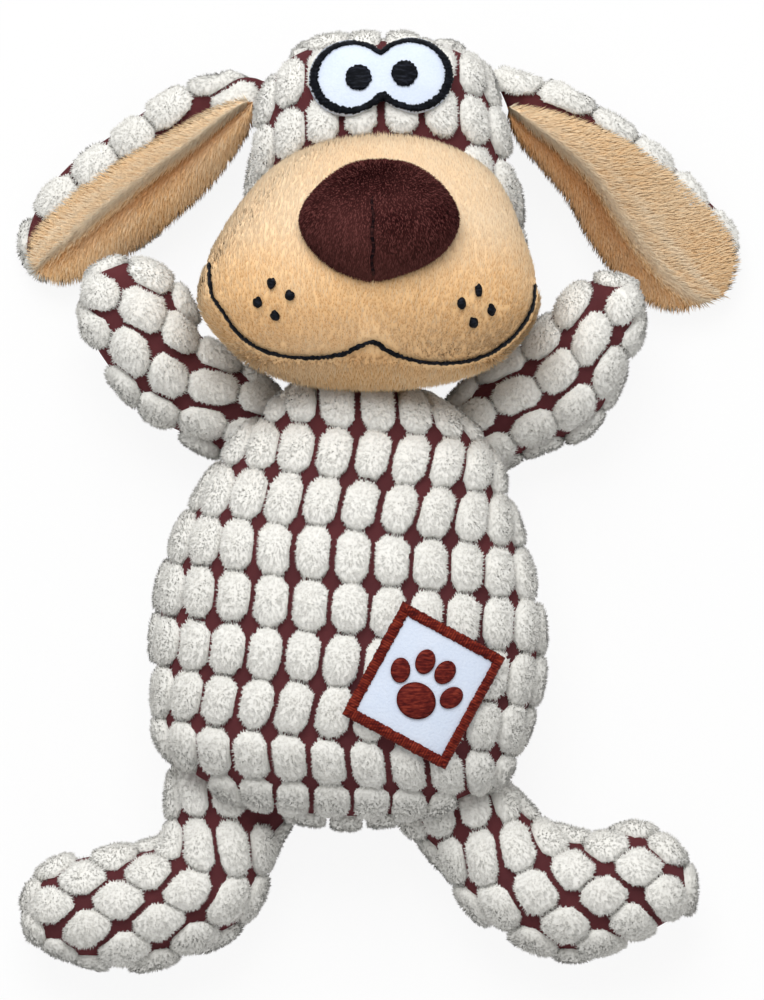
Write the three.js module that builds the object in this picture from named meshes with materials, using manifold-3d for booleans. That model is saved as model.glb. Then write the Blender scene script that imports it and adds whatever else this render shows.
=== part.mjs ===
// Plush dog toy of tufted chenille, lying on its back with its ears spread.
// Millimetres. +X is to the right of the toy as seen from the front, +Y runs towards the head,
// and +Z is the side that faces the viewer. The origin is on the flat that the back rests on.

import * as THREE from "three";
import { mergeVertices } from "three/addons/utils/BufferGeometryUtils.js";
import Module from "manifold-3d";

const wasm = await Module();
wasm.setup();

// Clearances
const seamGap = 0.3; // between two pieces that are sewn or glued together
const restCut = 0.5; // how deep each stuffed form is pressed flat by the floor
const overrun = 20; // how far a cutting prism runs past what it cuts

// Body: a pear cut from a front and a back panel
const bodyLength = 139.4;
const bodyWidth = 111;
const bodyDepth = 62;
const neckHeight = 75.6; // top of the neck above the origin, along Y
const neckLength = 14; // of the neck, which the head hides
const panelThickness = 2.4; // woven ground with its backing
const body = {
  x: 0,
  y: neckHeight,
  turn: -90,
  length: bodyLength,
  width: bodyWidth,
  depth: bodyDepth,
  lift: bodyDepth / 2 - restCut,
  rise: 0,
  sides: 32,
  rings: 20,
};

// Tufts of pile on the body's panels: rows set square, turned from the body's length
const groundDepth = 3.3; // of the woven ground within the body's form
const tuftHeight = 3;
const tuftLength = 13.4;
const tuftWidth = 9.2;
const tuftPitchAlong = 14.2;
const tuftPitchAcross = 10.7;
const tuftTurn = -5.5;
const tuftX = -2.5; // the middle of one tuft on the front
const tuftY = 53.6;
const tuftSpan = 12; // rows either way from that one
const tuftFoot = 1.4; // how far a tuft is set into its ground
const tuftCrownShare = 0.76; // of its length and width, at the top
const tuftRestHeight = 15; // no tufts are formed below this on the back, which the floor presses flat
const tuftCornerShares = [
  [1, 0.5],
  [0.5, 1],
  [-0.5, 1],
  [-1, 0.5],
  [-1, -0.5],
  [-0.5, -1],
  [0.5, -1],
  [1, -0.5],
];

// Squeaker inside the filling
const squeakerDiameter = 44;
const squeakerThickness = 18;
const squeakerWall = 1;
const squeakerDrop = 6; // below the origin, along Y
const reedDiameter = 9;
const reedBore = 2.4;
const reedLength = 12;
const reedFlange = 1.5;

// Belly patch: a felt square with a satin border and an embroidered paw
const patchWidth = 32.4;
const patchHeight = 34.8;
const patchTurn = -28.6;
const patchX = 20.9;
const patchY = -23.4;
const patchThickness = 1.2;
const borderWidth = 2.6;
const threadHeight = 1;
const padWidth = 11;
const padHeight = 10;
const toeWidth = 5.4;
const toeHeight = 7;
const padDropShare = 0.13;
const toeShares = [
  [-0.24, 0.02, 24],
  [-0.09, 0.17, 8],
  [0.1, 0.17, -8],
  [0.25, 0.02, -24],
];

// Head
const headLength = 94.3;
const headWidth = 80.3;
const headDepth = 54;
const headX = 9.4;
const headTop = 157.3;
const head = {
  x: headX,
  y: headTop,
  turn: -90,
  length: headLength,
  width: headWidth,
  depth: headDepth,
  lift: headDepth / 2 - restCut,
  rise: 0,
  sides: 24,
  rings: 16,
};

// Muzzle of short plush, with the chin below the mouth
const muzzleLength = 71;
const muzzleWidth = 95;
const muzzleDepth = 52;
const muzzleAside = 3.6; // from the head's middle, to the toy's left in the view from the front
const muzzleDown = 28.9; // from the head's top
const muzzleX = headX - muzzleAside;
const muzzleTop = headTop - muzzleDown;
const muzzleLift = 50;
const muzzleRise = 6;
const muzzle = {
  x: muzzleX,
  y: muzzleTop,
  turn: -90,
  length: muzzleLength,
  width: muzzleWidth,
  depth: muzzleDepth,
  lift: muzzleLift,
  rise: muzzleRise,
  sides: 24,
  rings: 14,
};

// Nose
const noseLength = 33.8;
const noseWidth = 44;
const noseDepth = 26;
const noseAside = 2.8; // from the muzzle's middle, to the right
const noseDown = 7.9; // from the muzzle's top
const noseX = muzzleX + noseAside;
const noseTop = muzzleTop - noseDown;
const noseLift = 80;
const noseSeamWidth = 1;
const noseSeamHeight = 0.6;
const noseSeamShare = 0.86; // of the nose's length
const nose = {
  x: noseX,
  y: noseTop,
  turn: -90,
  length: noseLength,
  width: noseWidth,
  depth: noseDepth,
  lift: noseLift,
  rise: 0,
  sides: 16,
  rings: 12,
};

// Eyes: one felt patch for both, edged and pupilled in black thread
const eyePatchWidth = 39.6;
const eyePatchHeight = 21.4;
const eyePatchAside = 0.2; // from the head's middle, to the left
const eyePatchDown = 13.3; // from the head's top to the patch's middle
const eyePatchX = headX - eyePatchAside;
const eyePatchY = headTop - eyePatchDown;
const eyeEdgeWidth = 2.2;
const pupilWidth = 7.4;
const pupilHeight = 7.2;
const pupilSpread = 12.4;
const pupilRise = 0.6;
const eyeThickness = 1;

// Mouth line and whisker dots
const threadWidth = 1.5;
const dotDiameter = 2.8;

// Ears: a tufted outer panel and a plush inner panel each
const earDepth = 10;
const earInnerDepth = 6;
const earInnerLift = 4.4; // of the inner panel above the outer one's middle
const earDrop = 15; // from the seam on the head down to the tip
const leftEarAside = 33.1; // from the head's middle to the ear's root
const rightEarAside = 32.4;
const leftEarDown = 17.6; // from the head's top to the ear's root
const rightEarDown = 15.7;
const ear = { depth: earDepth, lift: earDepth / 2 - restCut, rise: earDrop, sides: 12, rings: 10 };
const leftEar = {
  ...ear,
  x: headX - leftEarAside,
  y: headTop - leftEarDown,
  turn: 217,
  length: 78,
  width: 30,
};
const rightEar = {
  ...ear,
  x: headX + rightEarAside,
  y: headTop - rightEarDown,
  turn: -41,
  length: 88,
  width: 34,
};

// Arms, whose hands lie on the ears' tips
const armLength = 54;
const armWidth = 40;
const armDepth = 28;
const handRise = 11.5;
const leftArmInset = 24.7; // from the body's widest to the arm's root
const rightArmInset = 13.7;
const leftArmDown = 20; // from the neck to the arm's root
const rightArmDown = 22;
const arm = {
  length: armLength,
  width: armWidth,
  depth: armDepth,
  lift: armDepth / 2 - restCut,
  rise: handRise,
  sides: 14,
  rings: 12,
};
const leftArm = { ...arm, x: leftArmInset - bodyWidth / 2, y: neckHeight - leftArmDown, turn: 141 };
const rightArm = { ...arm, x: bodyWidth / 2 - rightArmInset, y: neckHeight - rightArmDown, turn: 38 };

// Legs, with the feet turned out
const legLength = 60;
const legWidth = 42;
const legDepth = 34;
const bodyBottom = neckHeight - bodyLength;
const leftLegInset = 25.8; // from the body's widest to the leg's root
const rightLegInset = 21.9;
const leftLegUp = 11.5; // from the body's bottom to the leg's root
const rightLegUp = 7.4;
const leg = {
  length: legLength,
  width: legWidth,
  depth: legDepth,
  lift: legDepth / 2 - restCut,
  rise: 0,
  sides: 14,
  rings: 14,
};
const leftLeg = { ...leg, x: leftLegInset - bodyWidth / 2, y: bodyBottom + leftLegUp, turn: 226 };
const rightLeg = { ...leg, x: bodyWidth / 2 - rightLegInset, y: bodyBottom + rightLegUp, turn: -30 };

// Seams that flex: the pivot and the turns, in degrees, that the neighbours are cut back for
const neckRadius = 16.5;
const neckDepth = 36.6;
const neckPivot = { x: 1.6, y: neckHeight - neckRadius, z: 0 };
const neckTurns = [-8, 0, 8];
const leftEarSeam = { aside: -0.5, up: 5.8 }; // each seam's pivot from the root of what it carries
const rightEarSeam = { aside: -1.4, up: 6.6 };
const leftArmSeam = { aside: -7.4, up: -17.1 };
const rightArmSeam = { aside: 1.9, up: -17.8 };
const leftHipSeam = { aside: -5.3, up: 1.3 };
const rightHipSeam = { aside: -2.6, up: 1.4 };
const pivotOf = (form, seam, z = 0) => ({ x: form.x + seam.aside, y: form.y + seam.up, z });
const leftEarPivot = pivotOf(leftEar, leftEarSeam);
const leftEarTurns = [0, -12, -24, -35];
const rightEarPivot = pivotOf(rightEar, rightEarSeam);
const rightEarTurns = [0, 12, 24, 35];
const leftArmPivot = pivotOf(leftArm, leftArmSeam);
const leftArmTurns = [0, 12, 25, 38];
const rightArmPivot = pivotOf(rightArm, rightArmSeam);
const rightArmTurns = [0, -12, -25, -38];
const hipHeight = 32;
const leftHipPivot = pivotOf(leftLeg, leftHipSeam, hipHeight);
const rightHipPivot = pivotOf(rightLeg, rightHipSeam, hipHeight);
const hipTurns = [0, 15, 30, 45];

// Rows of a stuffed form, from its root or top to its tip:
// along and across of one edge, along and across of the other, depth, rise.
// Each is a share of the form's length, width, depth or rise.
const bodyRowShares = [
  [0, 0.01, 0, 0.01, 0, 0],
  [0.014, -0.056, 0.014, 0.083, 0.28, 0],
  [0.05, -0.107, 0.05, 0.135, 0.45, 0],
  [0.1, -0.134, 0.1, 0.163, 0.57, 0],
  [0.15, -0.21, 0.15, 0.26, 0.66, 0],
  [0.21, -0.29, 0.21, 0.35, 0.76, 0],
  [0.27, -0.345, 0.27, 0.39, 0.84, 0],
  [0.33, -0.39, 0.33, 0.41, 0.9, 0],
  [0.42, -0.45, 0.42, 0.445, 0.96, 0],
  [0.54, -0.488, 0.54, 0.49, 1, 0],
  [0.64, -0.5, 0.64, 0.5, 1, 0],
  [0.74, -0.5, 0.74, 0.485, 0.98, 0],
  [0.83, -0.488, 0.83, 0.45, 0.92, 0],
  [0.91, -0.4, 0.91, 0.4, 0.76, 0],
  [0.96, -0.27, 0.96, 0.29, 0.54, 0],
  [0.99, -0.14, 0.99, 0.15, 0.28, 0],
  [1, 0, 1, 0, 0, 0],
];
const headRowShares = [
  [0, 0, 0, 0, 0, 0],
  [0.01, -0.21, 0.01, 0.2, 0.32, 0],
  [0.035, -0.315, 0.035, 0.3, 0.52, 0],
  [0.08, -0.385, 0.08, 0.37, 0.7, 0],
  [0.17, -0.425, 0.17, 0.405, 0.86, 0],
  [0.28, -0.46, 0.28, 0.445, 0.95, 0],
  [0.4, -0.465, 0.4, 0.47, 1, 0],
  [0.53, -0.49, 0.53, 0.49, 1, 0],
  [0.66, -0.5, 0.66, 0.5, 0.98, 0],
  [0.79, -0.47, 0.79, 0.455, 0.92, 0],
  [0.9, -0.39, 0.9, 0.37, 0.78, 0],
  [0.96, -0.28, 0.96, 0.23, 0.56, 0],
  [0.99, -0.17, 0.99, 0.1, 0.3, 0],
  [1, -0.04, 1, -0.04, 0, 0],
];
const muzzleRowShares = [
  [0, 0.04, 0, 0.04, 0, -0.2],
  [0.027, -0.11, 0.027, 0.18, 0.3, -0.1],
  [0.075, -0.215, 0.075, 0.28, 0.5, 0],
  [0.15, -0.3, 0.15, 0.36, 0.7, 0.2],
  [0.24, -0.36, 0.24, 0.405, 0.84, 0.5],
  [0.395, -0.437, 0.395, 0.45, 0.97, 0.9],
  [0.55, -0.49, 0.55, 0.487, 1, 1],
  [0.67, -0.5, 0.67, 0.5, 0.96, 0.9],
  [0.78, -0.455, 0.78, 0.467, 0.86, 0.7],
  [0.89, -0.365, 0.89, 0.38, 0.68, 0.5],
  [0.957, -0.26, 0.957, 0.27, 0.48, 0.4],
  [0.988, -0.14, 0.988, 0.15, 0.28, 0.3],
  [1, 0, 1, 0, 0, 0.3],
];
const noseRowShares = [
  [0, 0.01, 0, 0.01, 0, 0],
  [0.033, -0.17, 0.033, 0.18, 0.36, 0],
  [0.106, -0.28, 0.106, 0.3, 0.6, 0],
  [0.228, -0.39, 0.228, 0.405, 0.84, 0],
  [0.366, -0.47, 0.366, 0.475, 0.97, 0],
  [0.488, -0.5, 0.488, 0.5, 1, 0],
  [0.618, -0.462, 0.618, 0.45, 0.96, 0],
  [0.756, -0.356, 0.756, 0.344, 0.8, 0],
  [0.878, -0.225, 0.878, 0.188, 0.56, 0],
  [0.967, -0.12, 0.967, 0.05, 0.28, 0],
  [1, -0.05, 1, -0.05, 0, 0],
];
const leftEarRowShares = [
  [-0.06, -0.05, -0.06, -0.05, 0, 1],
  [-0.03, -0.2, -0.01, 0.06, 0.6, 1],
  [0.08, -0.38, 0.08, 0.17, 0.85, 0.95],
  [0.23, -0.53, 0.16, 0.27, 0.95, 0.84],
  [0.38, -0.57, 0.32, 0.38, 1, 0.66],
  [0.52, -0.58, 0.5, 0.42, 1, 0.44],
  [0.7, -0.6, 0.7, 0.43, 1, 0.2],
  [0.84, -0.52, 0.84, 0.41, 0.95, 0.06],
  [0.95, -0.38, 0.95, 0.31, 0.85, 0],
  [1.02, -0.2, 1.01, 0.17, 0.6, 0],
  [1.04, 0, 1.04, 0, 0, 0],
];
const leftEarInnerRowShares = [
  [0.03, 0, 0.03, 0, 0, 1],
  [0.07, -0.08, 0.06, 0.12, 0.5, 0.98],
  [0.15, -0.15, 0.12, 0.22, 0.8, 0.9],
  [0.26, -0.2, 0.22, 0.31, 0.95, 0.78],
  [0.4, -0.25, 0.34, 0.39, 1, 0.62],
  [0.54, -0.3, 0.52, 0.43, 1, 0.42],
  [0.72, -0.32, 0.71, 0.43, 1, 0.18],
  [0.86, -0.29, 0.85, 0.4, 0.95, 0.05],
  [0.96, -0.22, 0.95, 0.3, 0.8, 0],
  [1.01, -0.1, 1.01, 0.17, 0.5, 0],
  [1.03, 0.03, 1.03, 0.03, 0, 0],
];
const rightEarRowShares = [
  [-0.09, 0.02, -0.09, 0.02, 0, 1],
  [-0.04, 0.13, -0.02, -0.03, 0.6, 1],
  [0.03, 0.2, 0.04, -0.1, 0.8, 0.98],
  [0.14, 0.34, 0.12, -0.22, 0.92, 0.9],
  [0.28, 0.4, 0.24, -0.26, 1, 0.76],
  [0.42, 0.46, 0.38, -0.32, 1, 0.56],
  [0.56, 0.49, 0.52, -0.45, 1, 0.34],
  [0.7, 0.47, 0.66, -0.53, 1, 0.15],
  [0.84, 0.42, 0.8, -0.54, 0.9, 0.03],
  [0.93, 0.23, 0.9, -0.36, 0.65, 0],
  [0.97, -0.05, 0.97, -0.05, 0, 0],
];
const rightEarInnerRowShares = [
  [0.05, -0.08, 0.05, -0.08, 0, 0.98],
  [0.1, 0.02, 0.08, -0.16, 0.5, 0.94],
  [0.17, 0.13, 0.14, -0.23, 0.8, 0.88],
  [0.29, 0.26, 0.25, -0.27, 0.95, 0.75],
  [0.43, 0.36, 0.39, -0.33, 1, 0.55],
  [0.57, 0.39, 0.52, -0.45, 1, 0.34],
  [0.7, 0.34, 0.66, -0.53, 1, 0.15],
  [0.82, 0.27, 0.79, -0.53, 0.9, 0.03],
  [0.9, 0.12, 0.89, -0.37, 0.65, 0],
  [0.94, -0.1, 0.94, -0.1, 0, 0],
];
const leftArmRowShares = [
  [-0.45, 0.1, -0.45, 0.1, 0, 0],
  [-0.38, -0.16, -0.36, 0.3, 0.7, 0],
  [-0.15, -0.25, -0.12, 0.43, 0.95, 0],
  [0.1, -0.24, 0.08, 0.48, 1, 0.05],
  [0.34, -0.24, 0.26, 0.53, 1, 0.4],
  [0.52, -0.33, 0.44, 0.5, 0.96, 0.85],
  [0.68, -0.41, 0.62, 0.45, 0.92, 1],
  [0.83, -0.38, 0.78, 0.38, 0.88, 1],
  [0.94, -0.28, 0.91, 0.26, 0.72, 1],
  [1, -0.14, 0.99, 0.11, 0.45, 1],
  [1.02, -0.02, 1.02, -0.02, 0, 1],
];
const rightArmRowShares = [
  [-0.45, -0.1, -0.45, -0.1, 0, 0],
  [-0.38, 0.16, -0.36, -0.3, 0.7, 0],
  [-0.15, 0.28, -0.14, -0.4, 0.95, 0],
  [0.1, 0.3, 0.05, -0.46, 1, 0.05],
  [0.33, 0.3, 0.24, -0.55, 1, 0.4],
  [0.5, 0.32, 0.44, -0.5, 0.96, 0.85],
  [0.67, 0.38, 0.61, -0.39, 0.92, 1],
  [0.82, 0.34, 0.77, -0.28, 0.86, 1],
  [0.92, 0.22, 0.88, -0.14, 0.66, 1],
  [0.96, 0.13, 0.94, -0.02, 0.4, 1],
  [0.98, 0.06, 0.98, 0.06, 0, 1],
];
const leftLegRowShares = [
  [-0.35, 0, -0.35, 0, 0, 0],
  [-0.24, -0.36, -0.28, 0.34, 0.7, 0],
  [0, -0.46, -0.12, 0.42, 0.9, 0],
  [0.13, -0.43, 0, 0.44, 0.94, 0],
  [0.28, -0.27, 0.16, 0.54, 0.97, 0],
  [0.41, -0.18, 0.3, 0.63, 1, 0],
  [0.5, -0.24, 0.45, 0.66, 1, 0],
  [0.62, -0.37, 0.62, 0.6, 1, 0],
  [0.76, -0.51, 0.8, 0.49, 0.97, 0],
  [0.9, -0.6, 0.95, 0.35, 0.9, 0],
  [1.03, -0.58, 1.07, 0.14, 0.78, 0],
  [1.13, -0.48, 1.14, -0.09, 0.5, 0],
  [1.18, -0.3, 1.18, -0.3, 0, 0],
];
const rightLegRowShares = [
  [-0.35, -0.05, -0.35, -0.05, 0, 0],
  [-0.25, 0.28, -0.3, -0.34, 0.7, 0],
  [-0.08, 0.32, -0.12, -0.42, 0.9, 0],
  [0.1, 0.26, 0.02, -0.5, 0.94, 0],
  [0.24, 0.2, 0.16, -0.6, 0.97, 0],
  [0.38, 0.19, 0.32, -0.67, 1, 0],
  [0.5, 0.22, 0.48, -0.66, 1, 0],
  [0.61, 0.32, 0.64, -0.63, 1, 0],
  [0.74, 0.47, 0.78, -0.56, 0.97, 0],
  [0.88, 0.49, 0.9, -0.4, 0.9, 0],
  [1, 0.43, 1.02, -0.22, 0.78, 0],
  [1.09, 0.29, 1.1, -0.04, 0.5, 0],
  [1.13, 0.14, 1.13, 0.14, 0, 0],
];

// Half of the eye patch's outline, from the top notch round one eye to the bottom notch:
// shares of the patch's width and height.
const eyeOutlineShares = [
  [0, 0.34],
  [0.08, 0.44],
  [0.22, 0.5],
  [0.38, 0.4],
  [0.48, 0.16],
  [0.49, -0.12],
  [0.4, -0.38],
  [0.24, -0.49],
  [0.1, -0.42],
  [0, -0.24],
];

// The mouth line's points and the whisker dots, as shares of the muzzle's width and length,
// across from its middle and down from its top
const mouthShares = [
  [-0.462, 0.5],
  [-0.452, 0.63],
  [-0.425, 0.69],
  [-0.37, 0.79],
  [-0.3, 0.848],
  [-0.2, 0.874],
  [-0.08, 0.862],
  [0.012, 0.815],
  [0.06, 0.855],
  [0.16, 0.892],
  [0.27, 0.89],
  [0.36, 0.85],
  [0.43, 0.77],
  [0.47, 0.68],
  [0.482, 0.58],
];
const dotShares = [
  [-0.28, 0.59],
  [-0.228, 0.636],
  [-0.32, 0.663],
  [-0.27, 0.713],
  [0.315, 0.616],
  [0.266, 0.667],
  [0.352, 0.69],
  [0.3, 0.74],
];

// Finishes
const finish = (color, roughness) => new THREE.MeshStandardMaterial({ color, roughness, metalness: 0 });
const tufted = finish(0xebe8de, 0.95);
const tanPlush = finish(0xe2b981, 0.95);
const nosePlush = finish(0x4b2326, 0.9);
const whiteFelt = finish(0xe6e9f3, 0.9);
const blackThread = finish(0x111317, 0.6);
const rustThread = finish(0x7c2a1c, 0.6);
const fibreFilling = finish(0xf4f4f2, 1);
const squeakerPlastic = finish(0xf0f0ea, 0.5);

// The closed body of a geometry
function solidOf(geometry) {
  const bare = geometry.index ? geometry.toNonIndexed() : geometry.clone();
  bare.deleteAttribute("normal");
  bare.deleteAttribute("uv");
  const merged = mergeVertices(bare);
  const vertProperties = new Float32Array(merged.attributes.position.array);
  const triVerts = new Uint32Array(merged.index.array);
  return new wasm.Manifold(new wasm.Mesh({ numProp: 3, vertProperties, triVerts }));
}

function geometryOf(solid) {
  const { vertProperties, triVerts } = solid.getMesh();
  const geometry = new THREE.BufferGeometry();
  geometry.setAttribute("position", new THREE.BufferAttribute(new Float32Array(vertProperties), 3));
  geometry.setIndex(new THREE.BufferAttribute(new Uint32Array(triVerts), 1));
  geometry.computeVertexNormals();
  return geometry;
}

// The ring at a share of a stuffed form, drawn through its rows of shares: an oval between the two edges.
// grow swells the form, or draws it in, by that much all round.
function ringOf(form, rowShares, { grow = 0, lift = form.lift, depth = form.depth } = {}) {
  const edge = (first) =>
    new THREE.CatmullRomCurve3(
      rowShares.map((row) => new THREE.Vector3(row[first] * form.length, row[first + 1] * form.width, 0)),
    );
  const levels = new THREE.CatmullRomCurve3(
    rowShares.map((row) => new THREE.Vector3((row[4] * depth) / 2, lift + row[5] * form.rise, 0)),
  );
  const [near, far] = [edge(0), edge(2)];
  const start = rowShares[0][0] * form.length;
  const end = rowShares.at(-1)[0] * form.length;
  const middle = (start + end) / 2;
  const stretch = 1 + (2 * grow) / (end - start);
  return (share) => {
    const [one, other, level] = [near, far, levels].map((curve) => curve.getPoint(share));
    const centre = one.clone().add(other).divideScalar(2);
    const half = other.clone().sub(one).divideScalar(2);
    const pole = share <= 0 || share >= 1;
    if (!pole) half.setLength(Math.max(half.length() + grow, half.length() / 2));
    const halfDepth = pole ? 0 : Math.max(level.x + grow, level.x / 2);
    centre.x = middle + (centre.x - middle) * stretch;
    return { centre, half, halfDepth, level: level.y };
  };
}

// A stuffed form's closed body
function stuffedForm(form, rowShares, options) {
  const ringAt = ringOf(form, rowShares, options);
  const facing = Math.sign(rowShares[1][1] - rowShares[1][3]); // keeps the faces pointing out
  const geometry = new THREE.SphereGeometry(1, form.sides, form.rings);
  const { position } = geometry.attributes;
  for (let ring = 0; ring <= form.rings; ring++) {
    const { centre, half, halfDepth, level } = ringAt((1 - Math.cos((Math.PI * ring) / form.rings)) / 2);
    for (let side = 0; side <= form.sides; side++) {
      const angle = (2 * Math.PI * side) / form.sides;
      const spot = centre.clone().addScaledVector(half, Math.cos(angle));
      spot.z = level + facing * halfDepth * Math.sin(angle);
      position.setXYZ(ring * (form.sides + 1) + side, ...spot.toArray());
    }
  }
  geometry.rotateZ(THREE.MathUtils.degToRad(form.turn)).translate(form.x, form.y, 0);
  return solidOf(geometry);
}

// A panel of cloth on a form, on its front for side 1 or its back for side -1.
// Its flat coordinates are along its middle line and across from it, in millimetres of cloth.
function clothOn(form, rowShares, side, grow, rows = 60, stations = 40) {
  const ringAt = ringOf(form, rowShares, { grow });
  const toToy = new THREE.Matrix4()
    .makeTranslation(form.x, form.y, 0)
    .multiply(new THREE.Matrix4().makeRotationZ(THREE.MathUtils.degToRad(form.turn)));
  const grid = [];
  const alongs = [];
  for (let row = 0; row <= rows; row++) {
    const { centre, half, halfDepth, level } = ringAt((1 - Math.cos((Math.PI * row) / rows)) / 2);
    const spots = [];
    const runs = [];
    for (let station = 0; station <= stations; station++) {
      const angle = Math.PI * (1 - station / stations);
      const spot = centre.clone().addScaledVector(half, Math.cos(angle));
      spot.z = level + side * halfDepth * Math.sin(angle);
      spots.push(spot.applyMatrix4(toToy));
      runs.push(station ? runs.at(-1) + spots[station].distanceTo(spots[station - 1]) : 0);
    }
    const middle = spots[stations / 2];
    alongs.push(row ? alongs.at(-1) + middle.distanceTo(grid.at(-1).spots[stations / 2]) : 0);
    grid.push({ spots, runs, girth: runs.at(-1) / 2 });
  }
  const step = 1; // of cloth, to find which way it runs
  const searches = 20;
  const between = (low, high, part) => low.clone().lerp(high, part);
  // The point of a row at a share of its girth from the middle
  const inRow = ({ spots, runs, girth }, share) => {
    const run = girth * (1 + THREE.MathUtils.clamp(share, -1, 1));
    const next = THREE.MathUtils.clamp(runs.findIndex((reach) => reach >= run), 1, stations);
    const part = (run - runs[next - 1]) / Math.max(runs[next] - runs[next - 1], Number.EPSILON);
    return between(spots[next - 1], spots[next], THREE.MathUtils.clamp(part, 0, 1));
  };
  const rowAt = (along) => {
    const found = alongs.findIndex((reach) => reach >= along);
    const next = found < 0 ? rows : Math.max(found, 1);
    const beyond = (along - alongs[next - 1]) / (alongs[next] - alongs[next - 1]);
    const part = THREE.MathUtils.clamp(beyond, 0, 1);
    return { next, part, girth: THREE.MathUtils.lerp(grid[next - 1].girth, grid[next].girth, part) };
  };
  const pointAt = (along, across) => {
    const { next, part, girth } = rowAt(along);
    const share = across / Math.max(girth, Number.EPSILON);
    return between(inRow(grid[next - 1], share), inRow(grid[next], share), part);
  };
  // How far a place is within the seams
  const within = (along, across) =>
    Math.min(rowAt(along).girth - Math.abs(across), along, alongs.at(-1) - along);
  const raised = (along, across, height) => {
    const down = pointAt(along + step, across).sub(pointAt(along - step, across));
    const over = pointAt(along, across + step).sub(pointAt(along, across - step));
    const normal = down.cross(over).multiplyScalar(side).normalize();
    return pointAt(along, across).addScaledVector(normal, height);
  };
  // The flat coordinates under a place of the toy, from its middle line outwards
  const under = (x, y) => {
    let [along, across] = [alongs.at(-1) / 2, 0];
    for (let pass = 0; pass < searches; pass++) {
      const at = pointAt(along, across);
      const down = pointAt(along + step, across).sub(at);
      const over = pointAt(along, across + step).sub(at);
      const size = down.x * over.y - down.y * over.x;
      along += (step * ((x - at.x) * over.y - (y - at.y) * over.x)) / size;
      across += (step * ((y - at.y) * down.x - (x - at.x) * down.y)) / size;
    }
    return { along, across };
  };
  return { raised, within, under };
}

// The tufts of a panel, each a faceted cushion set into the woven ground
function tuftsOn(form, rowShares, side, lowest = 0) {
  const cloth = clothOn(form, rowShares, side, -groundDepth);
  const start = cloth.under(tuftX, tuftY);
  const turn = THREE.MathUtils.degToRad(tuftTurn);
  const [cos, sin] = [Math.cos(turn), Math.sin(turn)];
  const tufts = [];
  for (let row = -tuftSpan; row <= tuftSpan; row++) {
    for (let column = -tuftSpan; column <= tuftSpan; column++) {
      const along = start.along + row * tuftPitchAlong * cos - column * tuftPitchAcross * sin;
      const across = start.across + row * tuftPitchAlong * sin + column * tuftPitchAcross * cos;
      if (cloth.within(along, across) < 0 || cloth.raised(along, across, 0).z < lowest) continue;
      const corners = (share, height) =>
        tuftCornerShares.map(([aside, ahead]) => {
          const [wide, long] = [(aside * share * tuftWidth) / 2, (ahead * share * tuftLength) / 2];
          const corner = [along + long * cos - wide * sin, across + long * sin + wide * cos];
          return cloth.raised(...corner, height).toArray();
        });
      tufts.push(wasm.Manifold.hull([...corners(1, -tuftFoot), ...corners(tuftCrownShare, tuftHeight)]));
    }
  }
  return wasm.Manifold.union(tufts);
}

const onFloor = (solid) => solid.trimByPlane([0, 0, 1], 0);

// What is left of a piece when an obstacle has passed at each of these turns about a pivot
function clearedOf(piece, obstacle, pivot, turns, axis = [0, 0, 1]) {
  const toPivot = new THREE.Matrix4().makeTranslation(pivot.x, pivot.y, pivot.z);
  const fromPivot = toPivot.clone().invert();
  let left = piece;
  for (const turn of turns) {
    const spin = new THREE.Matrix4().makeRotationAxis(
      new THREE.Vector3(...axis).normalize(),
      THREE.MathUtils.degToRad(-turn),
    );
    const move = toPivot.clone().multiply(spin).multiply(fromPivot);
    left = left.subtract(obstacle.transform([...move.elements]));
  }
  return left;
}

// A flat outline as a tall prism, turned and placed
function prism(shape, x, y, turn = 0, height = bodyDepth * 2) {
  const settings = { depth: height, bevelEnabled: false, curveSegments: 6 };
  const geometry = new THREE.ExtrudeGeometry(shape, settings);
  return solidOf(geometry.rotateZ(THREE.MathUtils.degToRad(turn)).translate(x, y, overrun));
}

// A layer of cloth or thread that lies on a stuffed form, within a prism
function layerOn(form, rowShares, low, high, within) {
  const outer = stuffedForm(form, rowShares, { grow: high });
  const inner = stuffedForm(form, rowShares, { grow: low });
  return outer.subtract(inner).intersect(within);
}

function ovalShape(width, height, steps = 14) {
  const shape = new THREE.Shape();
  shape.setFromPoints(new THREE.EllipseCurve(0, 0, width / 2, height / 2).getPoints(steps).slice(0, -1));
  return shape;
}

// A band of even width along a line of points
function bandShape(points, width) {
  const curve = new THREE.CatmullRomCurve3(points.map(([x, y]) => new THREE.Vector3(x, y, 0)));
  const steps = points.length * 2;
  const [left, right] = [[], []];
  for (let step = 0; step <= steps; step++) {
    const at = curve.getPoint(step / steps);
    const along = curve.getTangent(step / steps);
    const aside = new THREE.Vector3(-along.y, along.x, 0).setLength(width / 2);
    left.push(new THREE.Vector2(at.x + aside.x, at.y + aside.y));
    right.unshift(new THREE.Vector2(at.x - aside.x, at.y - aside.y));
  }
  return new THREE.Shape([...left, ...right]);
}

function eyeShape(inset) {
  const width = eyePatchWidth - 2 * inset;
  const height = eyePatchHeight - 2 * inset;
  const half = eyeOutlineShares.map(([across, up]) => [across * width, up * height]);
  const mirrored = half.slice(1, -1).reverse().map(([across, up]) => [-across, up]);
  const curve = new THREE.CatmullRomCurve3(
    [...half, ...mirrored].map(([x, y]) => new THREE.Vector3(x, y, 0)),
    true,
  );
  const points = curve.getPoints(half.length * 3).slice(1).reverse();
  return new THREE.Shape(points.map(({ x, y }) => new THREE.Vector2(x, y)));
}

function rectangleShape(width, height) {
  return new THREE.Shape([
    new THREE.Vector2(-width / 2, -height / 2),
    new THREE.Vector2(width / 2, -height / 2),
    new THREE.Vector2(width / 2, height / 2),
    new THREE.Vector2(-width / 2, height / 2),
  ]);
}

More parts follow.
